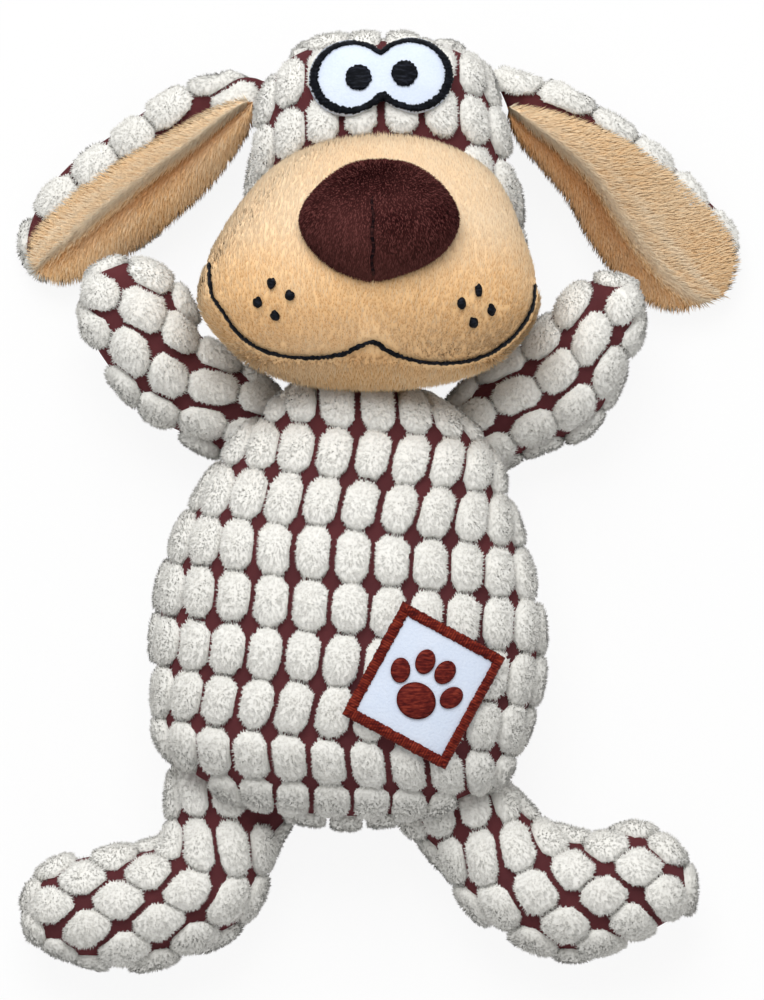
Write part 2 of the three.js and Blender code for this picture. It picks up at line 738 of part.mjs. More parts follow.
// Body panels, filling and squeaker. The pile is full where the head is sewn on and where the back rests.
const seamHeight = body.lift;
const halfOf = (solid, side) => solid.trimByPlane([0, 0, side], side * seamHeight + seamGap / 2);
const plain = { ...body, sides: 20, rings: 12 }; // under the tufts
const full = stuffedForm(body, bodyRowShares);
const bodyForm = onFloor(
  wasm.Manifold.union([
    stuffedForm(plain, bodyRowShares, { grow: -groundDepth }),
    tuftsOn(body, bodyRowShares, 1),
    tuftsOn(body, bodyRowShares, -1, tuftRestHeight),
    full.trimByPlane([0, 0, -1], -tuftRestHeight),
    full.trimByPlane([0, 1, 0], neckHeight - neckLength),
  ]),
);
const bodyClearance = stuffedForm(body, bodyRowShares, { grow: seamGap });
const coverDepth = groundDepth + panelThickness;
const coverInside = stuffedForm(plain, bodyRowShares, { grow: -coverDepth });
const cover = bodyForm.subtract(coverInside);
const squeakerForm = { x: 0, y: -squeakerDrop, z: seamHeight };
const squeakerPocket = solidOf(
  new THREE.CylinderGeometry(
    squeakerDiameter / 2 + seamGap,
    squeakerDiameter / 2 + seamGap,
    squeakerThickness + 2 * seamGap,
    16,
  )
    .rotateX(Math.PI / 2)
    .translate(squeakerForm.x, squeakerForm.y, squeakerForm.z),
);
const reedPocket = solidOf(
  new THREE.CylinderGeometry(reedDiameter, reedDiameter, squeakerThickness + reedLength, 12)
    .rotateX(Math.PI / 2)
    .translate(squeakerForm.x, squeakerForm.y, squeakerForm.z + reedLength / 2),
);
const filling = stuffedForm(plain, bodyRowShares, { grow: -coverDepth - 2 * seamGap })
  .subtract(squeakerPocket)
  .subtract(reedPocket);

function squeakerBulb() {
  const outside = squeakerDiameter / 2;
  const top = squeakerThickness / 2;
  const mouth = reedDiameter / 2 + seamGap;
  const corner = squeakerThickness / 4;
  const profile = [
    [0, -top],
    [outside - corner, -top],
    [outside, -top + corner],
    [outside, top - corner],
    [outside - corner, top],
    [mouth, top],
    [mouth, top - squeakerWall],
    [outside - corner, top - squeakerWall],
    [outside - squeakerWall, top - corner],
    [outside - squeakerWall, -top + corner],
    [outside - corner, -top + squeakerWall],
    [0, -top + squeakerWall],
  ];
  return new THREE.LatheGeometry(profile.map(([x, y]) => new THREE.Vector2(x, y)), 16);
}

function squeakerReed() {
  const outside = reedDiameter / 2;
  const flange = outside + 2 * reedFlange;
  const bore = reedBore / 2;
  const profile = [
    [bore, -reedLength / 2],
    [outside, -reedLength / 2],
    [outside, reedLength / 2 - reedFlange],
    [flange, reedLength / 2 - reedFlange],
    [flange, reedLength / 2],
    [bore, reedLength / 2],
    [bore, -reedLength / 2],
  ];
  return new THREE.LatheGeometry(profile.map(([x, y]) => new THREE.Vector2(x, y)), 12);
}

// Turns a lathed piece so that its axis is Z, and seats it in the body
function seated(geometry, rise) {
  geometry.rotateX(Math.PI / 2).translate(squeakerForm.x, squeakerForm.y, squeakerForm.z + rise);
  return solidOf(geometry);
}
const reedRise = squeakerThickness / 2 - reedLength / 2 + reedFlange + seamGap;

// Belly patch
const patchLow = seamGap;
const patchHigh = patchLow + patchThickness;
const threadLow = patchHigh + seamGap;
const threadHigh = threadLow + threadHeight;
const patchOutline = rectangleShape(patchWidth, patchHeight);
const borderOutline = rectangleShape(patchWidth, patchHeight);
borderOutline.holes.push(rectangleShape(patchWidth - 2 * borderWidth, patchHeight - 2 * borderWidth));
const onBelly = (shape, low, high) =>
  layerOn(body, bodyRowShares, low, high, prism(shape, patchX, patchY, patchTurn));

function movedShape(shape, x, y, turn = 0) {
  const [cos, sin] = [Math.cos, Math.sin].map((part) => part(THREE.MathUtils.degToRad(turn)));
  return new THREE.Shape(
    shape.getPoints().map((p) => new THREE.Vector2(x + p.x * cos - p.y * sin, y + p.x * sin + p.y * cos)),
  );
}

// Head with muzzle and nose
const neckSocket = solidOf(
  new THREE.SphereGeometry(1, 24, 14)
    .rotateX(Math.PI / 2)
    .scale(neckRadius + 2 * seamGap, neckRadius + 2 * seamGap, neckDepth / 2 + 2 * seamGap)
    .translate(neckPivot.x, neckPivot.y, seamHeight),
);
const headWhole = onFloor(stuffedForm(head, headRowShares)).subtract(neckSocket);
const headForm = clearedOf(headWhole, bodyClearance, neckPivot, neckTurns);
const headClearance = stuffedForm(head, headRowShares, { grow: seamGap });
const muzzleForm = clearedOf(
  stuffedForm(muzzle, muzzleRowShares).subtract(headClearance).subtract(neckSocket),
  bodyClearance,
  neckPivot,
  neckTurns,
);
const muzzleClearance = stuffedForm(muzzle, muzzleRowShares, { grow: seamGap });
const noseForm = stuffedForm(nose, noseRowShares).subtract(muzzleClearance);
const noseSeam = layerOn(
  nose,
  noseRowShares,
  seamGap,
  seamGap + noseSeamHeight,
  prism(
    rectangleShape(noseSeamWidth, noseLength * noseSeamShare),
    noseX,
    noseTop - noseLength / 2,
  ),
).subtract(stuffedForm(muzzle, muzzleRowShares, { grow: 2 * seamGap }));

// Eyes
const eyeLow = seamGap;
const eyeHigh = eyeLow + eyeThickness;
const stitchLow = eyeHigh + seamGap;
const stitchHigh = stitchLow + threadHeight;
const onForehead = (shape, low, high, x = eyePatchX, y = eyePatchY) =>
  layerOn(head, headRowShares, low, high, prism(shape, x, y));
const eyeRing = eyeShape(0);
eyeRing.holes.push(eyeShape(eyeEdgeWidth));

// Mouth and whisker dots
const onMuzzle = ([across, down]) => [across * muzzleWidth, -down * muzzleLength];
const mouthOutline = bandShape(mouthShares.map(onMuzzle), threadWidth);
const onSnout = (shape, x = muzzleX, y = muzzleTop) =>
  layerOn(muzzle, muzzleRowShares, seamGap, seamGap + threadHeight, prism(shape, x, y));

// Ears, each cut by the head, with the inner panel let into the outer one
function earPanels(form, outerShares, innerShares, pivot, turns) {
  const raised = { lift: form.lift + earInnerLift, depth: earInnerDepth };
  const inner = stuffedForm(form, innerShares, raised);
  const innerClearance = stuffedForm(form, innerShares, { ...raised, grow: seamGap });
  const outer = onFloor(stuffedForm(form, outerShares)).subtract(innerClearance);
  return [outer, inner].map((panel) => clearedOf(panel, headClearance, pivot, turns));
}

// Limbs, each cut by the body
function limb(form, rowShares, pivot, turns, axis) {
  return clearedOf(onFloor(stuffedForm(form, rowShares)), bodyClearance, pivot, turns, axis);
}

// The line that a leg lifts about lies across the leg, at the top of its seam
function hipAxis(form) {
  const along = THREE.MathUtils.degToRad(form.turn);
  return [Math.sin(along), -Math.cos(along), 0];
}

const toy = new THREE.Group();

// Adds a named mesh to a group, whose origin is the pivot of what it holds
function add(group, name, solid, material) {
  const pieces = solid.decompose();
  const largest = pieces.reduce((most, piece) => (piece.volume() > most.volume() ? piece : most));
  const mesh = new THREE.Mesh(geometryOf(largest), material);
  mesh.geometry.translate(-group.position.x, -group.position.y, -group.position.z);
  mesh.name = name;
  group.add(mesh);
}

function groupAt({ x, y, z }) {
  const group = new THREE.Group();
  group.position.set(x, y, z);
  toy.add(group);
  return group;
}

const torso = groupAt({ x: 0, y: 0, z: 0 });
add(torso, "body_front_panel", halfOf(cover, 1), tufted);
add(torso, "body_back_panel", halfOf(cover, -1), tufted);
add(torso, "filling_front", halfOf(filling, 1), fibreFilling);
add(torso, "filling_back", halfOf(filling, -1), fibreFilling);
add(torso, "squeaker_bulb", seated(squeakerBulb(), 0), squeakerPlastic);
add(torso, "squeaker_reed", seated(squeakerReed(), reedRise), squeakerPlastic);
add(torso, "belly_patch", onBelly(patchOutline, patchLow, patchHigh), whiteFelt);
add(torso, "patch_border", onBelly(borderOutline, threadLow, threadHigh), rustThread);
const padShape = movedShape(ovalShape(padWidth, padHeight), 0, -padDropShare * patchHeight);
add(torso, "paw_pad", onBelly(padShape, threadLow, threadHigh), rustThread);
toeShares.forEach(([across, up, turn], index) => {
  const toe = movedShape(ovalShape(toeWidth, toeHeight, 10), across * patchWidth, up * patchHeight, turn);
  add(torso, `paw_toe_${index + 1}`, onBelly(toe, threadLow, threadHigh), rustThread);
});

const skull = groupAt(neckPivot);
add(skull, "head", headForm, tufted);
add(skull, "muzzle", muzzleForm, tanPlush);
add(skull, "nose", noseForm, nosePlush);
add(skull, "nose_seam", noseSeam, nosePlush);
add(skull, "eye_patch", onForehead(eyeShape(0), eyeLow, eyeHigh), whiteFelt);
add(skull, "eye_outline", onForehead(eyeRing, stitchLow, stitchHigh), blackThread);
for (const [name, side] of [["pupil_left", -1], ["pupil_right", 1]]) {
  const x = eyePatchX + (side * pupilSpread) / 2;
  const y = eyePatchY + side * pupilRise;
  const pupil = onForehead(ovalShape(pupilWidth, pupilHeight), stitchLow, stitchHigh, x, y);
  add(skull, name, pupil, blackThread);
}
add(skull, "mouth_stitching", onSnout(mouthOutline), blackThread);
dotShares.map(onMuzzle).forEach(([across, up], index) => {
  const dot = onSnout(ovalShape(dotDiameter, dotDiameter, 8), muzzleX + across, muzzleTop + up);
  add(skull, `whisker_dot_${index + 1}`, dot, blackThread);
});

for (const [side, form, outerShares, innerShares, pivot, turns] of [
  ["left", leftEar, leftEarRowShares, leftEarInnerRowShares, leftEarPivot, leftEarTurns],
  ["right", rightEar, rightEarRowShares, rightEarInnerRowShares, rightEarPivot, rightEarTurns],
]) {
  const [outer, inner] = earPanels(form, outerShares, innerShares, pivot, turns);
  const group = groupAt(pivot);
  add(group, `ear_${side}_outer_panel`, outer, tufted);
  add(group, `ear_${side}_inner_panel`, inner, tanPlush);
}

const leftArmForm = limb(leftArm, leftArmRowShares, leftArmPivot, leftArmTurns);
const rightArmForm = limb(rightArm, rightArmRowShares, rightArmPivot, rightArmTurns);
const leftLegForm = limb(leftLeg, leftLegRowShares, leftHipPivot, hipTurns, hipAxis(leftLeg));
const rightLegForm = limb(rightLeg, rightLegRowShares, rightHipPivot, hipTurns, hipAxis(rightLeg));
add(groupAt(leftArmPivot), "arm_left", leftArmForm, tufted);
add(groupAt(rightArmPivot), "arm_right", rightArmForm, tufted);
add(groupAt(leftHipPivot), "leg_left", leftLegForm, tufted);
add(groupAt(rightHipPivot), "leg_right", rightLegForm, tufted);

export default toy;
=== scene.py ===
"""Plush dog toy of tufted chenille, lying on its back with its ears spread.

Millimetres in the sizes, metres in the meshes. +X is to the right of the toy as seen from the front,
+Y runs towards the head and +Z is the side that faces the viewer.
"""

import logging
import math
from dataclasses import dataclass, field, replace
from enum import Enum
from typing import Any, Callable, Sequence, Union

import bmesh
import bpy
import numpy as np
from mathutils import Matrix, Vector
from mathutils.bvhtree import BVHTree


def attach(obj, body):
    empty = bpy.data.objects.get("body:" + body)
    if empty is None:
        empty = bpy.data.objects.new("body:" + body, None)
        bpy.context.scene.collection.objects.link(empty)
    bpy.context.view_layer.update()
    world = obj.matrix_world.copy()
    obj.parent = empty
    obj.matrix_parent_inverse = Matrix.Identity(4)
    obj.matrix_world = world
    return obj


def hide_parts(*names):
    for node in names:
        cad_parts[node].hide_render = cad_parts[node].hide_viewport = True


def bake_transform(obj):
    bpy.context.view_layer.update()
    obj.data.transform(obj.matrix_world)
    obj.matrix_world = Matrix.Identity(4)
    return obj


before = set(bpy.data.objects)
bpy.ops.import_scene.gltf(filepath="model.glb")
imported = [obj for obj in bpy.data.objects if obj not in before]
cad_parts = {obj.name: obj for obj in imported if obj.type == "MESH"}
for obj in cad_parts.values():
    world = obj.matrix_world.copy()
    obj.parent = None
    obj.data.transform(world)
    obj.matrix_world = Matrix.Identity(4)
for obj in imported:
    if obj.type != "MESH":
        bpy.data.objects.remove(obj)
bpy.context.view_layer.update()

log = logging.getLogger("plush_dog")
MM = 0.001
DOUBLE = 0.004  # how near in millimetres two points of one tuft are the same
ON_FLOOR = 0.02  # the height in millimetres under which a point rests on the floor
Array = np.ndarray
Mesh = bmesh.types.BMesh
Piece = bpy.types.Object
Row = tuple[float, float, float, float, float, float]
Flat = tuple[float, float]
Spot = tuple[float, float, float]
Colour = tuple[float, float, float, float]
Outline = Callable[[float], Flat]  # a point for each angle
Height = Callable[[float, float], float]  # a Z for each X and Y, in millimetres
Reading = Callable[[Array], Array]  # a value or a yes or no for each of some points


# Node graphs


class Socket:
    """An output in a node graph, with the arithmetic that a pattern needs."""

    def __init__(self, graph: "Graph", output: bpy.types.NodeSocket) -> None:
        """Keeps the graph and the output."""
        self.graph = graph
        self.output = output

    def _sum(self, operation: str, first: Any, second: Any) -> "Socket":
        """Adds a Math node."""
        return self.graph.node("ShaderNodeMath", {"operation": operation}, {0: first, 1: second})

    def __add__(self, other: Any) -> "Socket":
        """Self plus other."""
        return self._sum("ADD", self, other)

    def __radd__(self, other: Any) -> "Socket":
        """Other plus self."""
        return self._sum("ADD", other, self)

    def __sub__(self, other: Any) -> "Socket":
        """Self less other."""
        return self._sum("SUBTRACT", self, other)

    def __rsub__(self, other: Any) -> "Socket":
        """Other less self."""
        return self._sum("SUBTRACT", other, self)

    def __mul__(self, other: Any) -> "Socket":
        """Self times other."""
        return self._sum("MULTIPLY", self, other)

    def __rmul__(self, other: Any) -> "Socket":
        """Other times self."""
        return self._sum("MULTIPLY", other, self)

    def sine(self) -> "Socket":
        """The sine of self."""
        return self._sum("SINE", self, 0.0)

    def absolute(self) -> "Socket":
        """Self without its sign."""
        return self._sum("ABSOLUTE", self, 0.0)


class Graph:
    """A node tree that is filled one node at a time."""

    def __init__(self, tree: bpy.types.NodeTree) -> None:
        """Keeps the tree."""
        self.tree = tree

    def node(
        self,
        kind: str,
        settings: Union[dict[str, Any], None] = None,
        inputs: Union[dict[Any, Any], None] = None,
        output: Any = 0,
    ) -> Union[Socket, None]:
        """Adds a node.

        Args:
            kind: The node's type.
            settings: What is set on the node before its sockets.
            inputs: The value or the link of each socket, by name or number.
            output: Which of its outputs is wanted.

        Returns:
            That output, or None for a node that has none.
        """
        made = self.tree.nodes.new(kind)
        for name, value in (settings or {}).items():
            setattr(made, name, value)
        for key, value in (inputs or {}).items():
            if isinstance(value, Socket):
                self.tree.links.new(value.output, made.inputs[key])
            else:
                made.inputs[key].default_value = value
        return Socket(self, made.outputs[output]) if made.outputs else None

    def blend(self, share: Any, first: Any, second: Any) -> Socket:
        """Mixes two colours."""
        return self.node("ShaderNodeMix", {"data_type": "RGBA"}, {0: share, 6: first, 7: second}, 2)

    def tinted(self, share: Any, first: Any, second: Any) -> Socket:
        """Multiplies a colour by another."""
        kind = {"data_type": "RGBA", "blend_type": "MULTIPLY"}
        return self.node("ShaderNodeMix", kind, {0: share, 6: first, 7: second}, 2)

    def scaled(self, vector: Socket, scale: Sequence[float]) -> Socket:
        """Multiplies a vector part by part."""
        return self.node("ShaderNodeVectorMath", {"operation": "MULTIPLY"}, {0: vector, 1: tuple(scale)})

    def stretched(
        self, share: Any, low: float, high: float, to_low: float = 0.0, to_high: float = 1.0
    ) -> Socket:
        """Maps a range of a value onto another."""
        numbers = {0: share, 1: low, 2: high, 3: to_low, 4: to_high}
        return self.node("ShaderNodeMapRange", {"clamp": True}, numbers)

    def place(self) -> Socket:
        """Where a point is on the piece, in metres."""
        return self.node("ShaderNodeTexCoord", output="Object")

    def noise(self, vector: Socket, scale: float, detail: float = 3.0, output: Any = 0) -> Socket:
        """Soft noise."""
        inputs = {"Vector": vector, "Scale": scale, "Detail": detail}
        return self.node("ShaderNodeTexNoise", None, inputs, output)

    def attribute(self, name: str, output: Any = "Fac") -> Socket:
        """A value that the mesh carries."""
        return self.node("ShaderNodeAttribute", {"attribute_name": name}, None, output)


def srgb(red: float, green: float, blue: float) -> Colour:
    """A colour from its screen values.

    Args:
        red: From 0 to 255.
        green: From 0 to 255.
        blue: From 0 to 255.

    Returns:
        The colour in linear light.
    """
    def linear(part: float) -> float:
        share = part / 255
        return share / 12.92 if share <= 0.04045 else ((share + 0.055) / 1.055) ** 2.4

    return (linear(red), linear(green), linear(blue), 1.0)


# Finishes


@dataclass(frozen=True)
class Finish:
    """A fabric's or a thread's finish.

    Each kind fills in its own colour, roughness and relief.
    """

    name: str
    slot: str
    colour: Colour
    roughness: float = 0.95
    relief: float = 0.2  # how deep it is, in millimetres

    def pattern(self, graph: Graph) -> tuple[Any, Any, Any]:
        """The finish over the surface."""
        return self.colour, self.roughness, None

    def material(self) -> bpy.types.Material:
        """Makes the material, or finds it if it has been made.

        Returns:
            The material.
        """
        found = bpy.data.materials.get(self.name)
        if found:
            return found
        made = bpy.data.materials.new(self.name)
        made.use_nodes = True
        made.node_tree.nodes.clear()
        graph = Graph(made.node_tree)
        colour, roughness, height = self.pattern(graph)
        inputs = {"Base Color": colour, "Roughness": roughness, "Specular IOR Level": 0.05}
        if height is not None:
            bump = {"Height": height, "Distance": self.relief * MM, "Strength": 1.0}
            inputs["Normal"] = graph.node("ShaderNodeBump", None, bump)
        shader = graph.node("ShaderNodeBsdfPrincipled", None, inputs)
        graph.node("ShaderNodeOutputMaterial", None, {"Surface": shader})
        return made


@dataclass(frozen=True)
class WovenGround(Finish):
    """Flat woven cloth under the tufts."""

    thread: float = 0.5

    def pattern(self, graph: Graph) -> tuple[Any, Any, Any]:
        """Fine crossed threads with a slight change of tone. See Finish."""
        place = graph.place()
        turns = 2 * math.pi / (self.thread * MM)
        axes = graph.node("ShaderNodeSeparateXYZ", None, {0: place}, "X")
        across = Socket(graph, axes.output.node.outputs["Y"])
        warp = ((axes + across) * turns).sine().absolute()
        weft = ((axes - across) * turns).sine().absolute()
        threads = warp * weft
        blots = graph.noise(place, 90.0)
        tone = graph.blend(threads * 0.4, self.colour, srgb(84, 38, 44))
        tone = graph.blend(graph.stretched(blots, 0.35, 0.7), tone, srgb(128, 68, 72))
        return tone, self.roughness, threads * -1.0


@dataclass(frozen=True)
class Chenille(Finish):
    """Cream tufts, with painted shade greying them down in the pile."""

    relief: float = 0.25
    # deep is painted shade for the roots down in the pile; warm and bright are tones that strands and patches
    # take at random
    deep: Colour = field(default_factory=lambda: srgb(222, 219, 210))
    warm: Colour = field(default_factory=lambda: srgb(234, 229, 210))
    bright: Colour = field(default_factory=lambda: srgb(250, 249, 244))

    def pattern(self, graph: Graph) -> tuple[Any, Any, Any]:
        """Clumps of pile with painted shade at the roots that lifts towards the tips. See Finish."""
        place = graph.place()
        clumps = graph.noise(place, 900.0, 2.0)
        wide = graph.noise(place, 60.0, 2.0)
        height = graph.attribute("tip")
        strand = graph.attribute("strand")
        tone = graph.blend(graph.stretched(height, 0.0, 0.6), self.deep, self.colour)
        tone = graph.blend(graph.stretched(strand, 0.7, 1.0, 0.0, 0.5), tone, self.warm)
        tone = graph.blend(graph.stretched(strand, 0.4, 0.0, 0.0, 0.6), tone, self.bright)
        tone = graph.blend(graph.stretched(wide, 0.4, 0.7, 0.0, 0.4), tone, self.bright)
        return tone, self.roughness, clumps


@dataclass(frozen=True)
class ShortPlush(Finish):
    """Short plush whose pile lies one way."""

    relief: float = 0.08
    # deep is painted shade at the roots and also the tone of some strands at random; gloss is a painted sheen
    pale: Colour = field(default_factory=lambda: srgb(255, 236, 204))
    deep: Colour = field(default_factory=lambda: srgb(222, 164, 102))
    gloss: Colour = field(default_factory=lambda: srgb(255, 241, 216))
    shadow: Colour = (0.38, 0.18, 0.06, 1.0)  # what the colour is multiplied by for a painted shadow in a fold
    streak: tuple[float, float, float] = (1500.0, 260.0, 260.0)

    def pattern(self, graph: Graph) -> tuple[Any, Any, Any]:
        """Streaks along the pile, with painted shade at the roots and painted shadow and sheen. See Finish.
        """
        place = graph.place()
        streaks = graph.noise(graph.scaled(place, self.streak), 1.0, 2.0)
        wide = graph.noise(place, 45.0, 2.0)
        tip, strand, shade = (graph.attribute(name) for name in ("tip", "strand", "shade"))
        tone = graph.blend(graph.stretched(tip, 0.0, 0.5), self.deep, self.colour)
        tone = graph.blend(graph.stretched(strand, 0.5, 1.0, 0.0, 0.8), tone, self.pale)
        tone = graph.blend(graph.stretched(strand, 0.35, 0.0, 0.0, 0.9), tone, self.deep)
        tone = graph.blend(graph.stretched(wide, 0.4, 0.75, 0.0, 0.3), tone, self.pale)
        # Painted shadow where the shade attribute is above 0, painted sheen where it is below 0
        tone = graph.tinted(graph.stretched(shade, 0.0, 1.0), tone, self.shadow)
        tone = graph.blend(graph.stretched(shade, 0.0, -1.0, 0.0, 0.7), tone, self.gloss)
        return tone, self.roughness, streaks


@dataclass(frozen=True)
class Felt(Finish):
    """Pressed felt with a faint nap."""

    def pattern(self, graph: Graph) -> tuple[Any, Any, Any]:
        """Nap in two sizes. See Finish."""
        place = graph.place()
        nap = graph.noise(place, 1400.0, 4.0)
        wide = graph.noise(place, 130.0, 3.0)
        tone = graph.blend(graph.stretched(nap, 0.35, 0.65, 0.0, 0.35), self.colour, srgb(204, 216, 238))
        tone = graph.blend(graph.stretched(wide, 0.4, 0.7, 0.0, 0.3), tone, srgb(232, 239, 250))
        return tone, self.roughness, nap


@dataclass(frozen=True)
class Thread(Finish):
    """Embroidery thread, laid close in satin stitches."""

    # light is painted sheen on the strands and the tone of paler stitches at random; dark is painted shade
    # between strands and stitches
    light: Colour = field(default_factory=lambda: srgb(38, 41, 50))
    dark: Colour = field(default_factory=lambda: srgb(6, 8, 12))
    grain: tuple[float, float, float] = (420.0, 1700.0, 1000.0)

    def pattern(self, graph: Graph) -> tuple[Any, Any, Any]:
        """Laid strands with painted sheen in pale flecks and painted shade between strands and stitches. See
        Finish.
        """
        place = graph.place()
        strands = graph.noise(graph.scaled(place, self.grain), 1.0, 3.0)
        groove, strand = graph.attribute("groove"), graph.attribute("strand")
        tone = graph.blend(graph.stretched(strands, 0.5, 0.68, 0.0, 0.9), self.colour, self.light)
        tone = graph.blend(graph.stretched(strands, 0.48, 0.34, 0.0, 0.8), tone, self.dark)
        tone = graph.blend(graph.stretched(strand, 0.6, 1.0, 0.0, 0.7), tone, self.light)
        tone = graph.blend(groove * 0.75, tone, self.dark)
        rough = graph.stretched(strands, 0.3, 0.7, self.roughness, self.roughness - 0.15)
        return tone, rough, strands


@dataclass(frozen=True)
class Mottled(Finish):
    """A plain stuff with a slight change of tone, such as filling or moulded plastic."""

    grain: float = 400.0

    def pattern(self, graph: Graph) -> tuple[Any, Any, Any]:
        """Soft blots. See Finish."""
        blots = graph.noise(graph.place(), self.grain, 4.0)
        darker = tuple(0.82 * part for part in self.colour[:3]) + (1.0,)
        return graph.blend(graph.stretched(blots, 0.35, 0.7), self.colour, darker), self.roughness, blots


GROUND = WovenGround("woven_ground", "tufted_fabric", srgb(119, 66, 70))
TUFT = Chenille("chenille_tuft", "tufted_fabric", srgb(244, 243, 238))
TAN = ShortPlush("tan_pile", "tan_plush", srgb(255, 211, 156))
NOSE = ShortPlush(
    "nose_pile", "nose_plush", srgb(72, 30, 31),
    pale=srgb(140, 84, 80), deep=srgb(28, 8, 9), gloss=srgb(140, 88, 78),
)
FELT = Felt("felt_nap", "white_felt", srgb(220, 230, 246))
NOSE_THREAD = Thread("nose_thread", "nose_plush", srgb(36, 12, 14), 0.6, light=srgb(96, 58, 54))
BLACK = Thread("black_stitches", "black_thread", srgb(13, 15, 21), 0.6)
RUST = Thread(
    "rust_stitches", "rust_thread", srgb(114, 35, 26), 0.6, light=srgb(164, 66, 46), dark=srgb(58, 16, 18),
)
# The rust thread darkened by painted shade for the paw, which faces the light more than the border
SHADED_PAW_RUST = replace(RUST, name="paw_stitches_shaded", colour=srgb(96, 31, 27), light=srgb(136, 56, 42))
FILLING = Mottled("fibre_filling", "filling", srgb(244, 244, 240))
PLASTIC = Mottled("squeaker_plastic", "squeaker", srgb(238, 238, 230), 0.5, grain=120.0)


# Stuffed forms


def through(points: Array, shares: Array) -> Array:
    """A smooth curve through points, with centripetal spacing.

    Args:
        points: What the curve passes through, one a row.
        shares: Where it is wanted, each from 0 to 1 and even from point to point.

    Returns:
        The curve's points, one a row.
    """
    last = len(points) - 1
    padded = np.vstack([2 * points[0] - points[1], points, 2 * points[-1] - points[-2]])
    place = np.clip(np.asarray(shares, float), 0, 1) * last
    first = np.minimum(place.astype(int), last - 1)
    part = (place - first)[:, None]
    p0, p1, p2, p3 = (padded[first + step] for step in range(4))

    def gap(one: Array, other: Array) -> Array:
        return ((other - one) ** 2).sum(1)[:, None] ** 0.25

    d1 = gap(p1, p2)
    d1 = np.where(d1 < 1e-4, 1.0, d1)
    d0, d2 = gap(p0, p1), gap(p2, p3)
    d0, d2 = np.where(d0 < 1e-4, d1, d0), np.where(d2 < 1e-4, d1, d2)
    t1 = ((p1 - p0) / d0 - (p2 - p0) / (d0 + d1) + (p2 - p1) / d1) * d1
    t2 = ((p2 - p1) / d1 - (p3 - p1) / (d1 + d2) + (p3 - p2) / d2) * d1
    cubic = 2 * p1 - 2 * p2 + t1 + t2
    square = 3 * p2 - 3 * p1 - 2 * t1 - t2
    return p1 + part * (t1 + part * (square + part * cubic))


@dataclass(frozen=True)
class Form:
    """A stuffed form through rows of shares, each ring an oval between two edges.

    A row has the along and across of one edge, the along and across of the other, depth and rise.
    The place and sizes are in millimetres and the turn is in degrees.
    """

    x: float
    y: float
    turn: float
    length: float
    width: float
    depth: float
    lift: float
    rise: float
    rows: tuple[Row, ...]

    def sections(self, shares: Array) -> tuple[Array, Array, Array]:
        """The two edges, low side first, and the half depths and levels.

        Args:
            shares: Which sections, from 0 to 1.

        Returns:
            Three tables with a row for each section.
        """
        table = np.array(self.rows, float)
        size = np.array([self.length, self.width])
        edges = [through(table[:, part : part + 2] * size, shares) for part in (0, 2)]
        if table[1, 1] > table[1, 3]:
            edges.reverse()
        levels = np.column_stack([table[:, 4] * self.depth / 2, self.lift + table[:, 5] * self.rise])
        return edges[0], edges[1], through(levels, shares)

    def points(self, shares: Array, angles: Array, grow: float = 0.0) -> Array:
        """Points of the surface.

        Args:
            shares: Where along the form, one for each section.
            angles: Where round each section: 0 is the high side across, half pi the front.
            grow: How far the form is swelled, or drawn in.

        Returns:
            A table of points in millimetres, by section and angle.
        """
        low, high, level = self.sections(shares)
        centre, half = (low + high) / 2, (high - low) / 2
        start, end = self.rows[0][0] * self.length, self.rows[-1][0] * self.length
        middle = (start + end) / 2
        centre[:, 0] = middle + (centre[:, 0] - middle) * (1 + 2 * grow / (end - start))
        reach = np.linalg.norm(half, axis=1)
        open_ring = reach > 1e-6
        factor = np.where(open_ring, np.maximum(reach + grow, reach / 2) / np.where(open_ring, reach, 1), 0)
        half = half * factor[:, None]
        deep = np.where(open_ring, np.maximum(level[:, 0] + grow, level[:, 0] / 2), 0)
        flat = centre[:, None, :] + half[:, None, :] * np.cos(angles)[None, :, None]
        height = level[:, 1][:, None] + deep[:, None] * np.sin(angles)[None, :]
        turn = math.radians(self.turn)
        east = flat[..., 0] * math.cos(turn) - flat[..., 1] * math.sin(turn) + self.x
        north = flat[..., 0] * math.sin(turn) + flat[..., 1] * math.cos(turn) + self.y
        return np.stack([east, north, height], axis=-1)

    def ease(self, steps: int) -> Array:
        """Sections that close up towards both ends."""
        return (1 - np.cos(np.linspace(0, np.pi, steps + 1))) / 2


class Side(Enum):
    """Which panel of a form a cloth is."""

    FRONT = 1
    BACK = -1


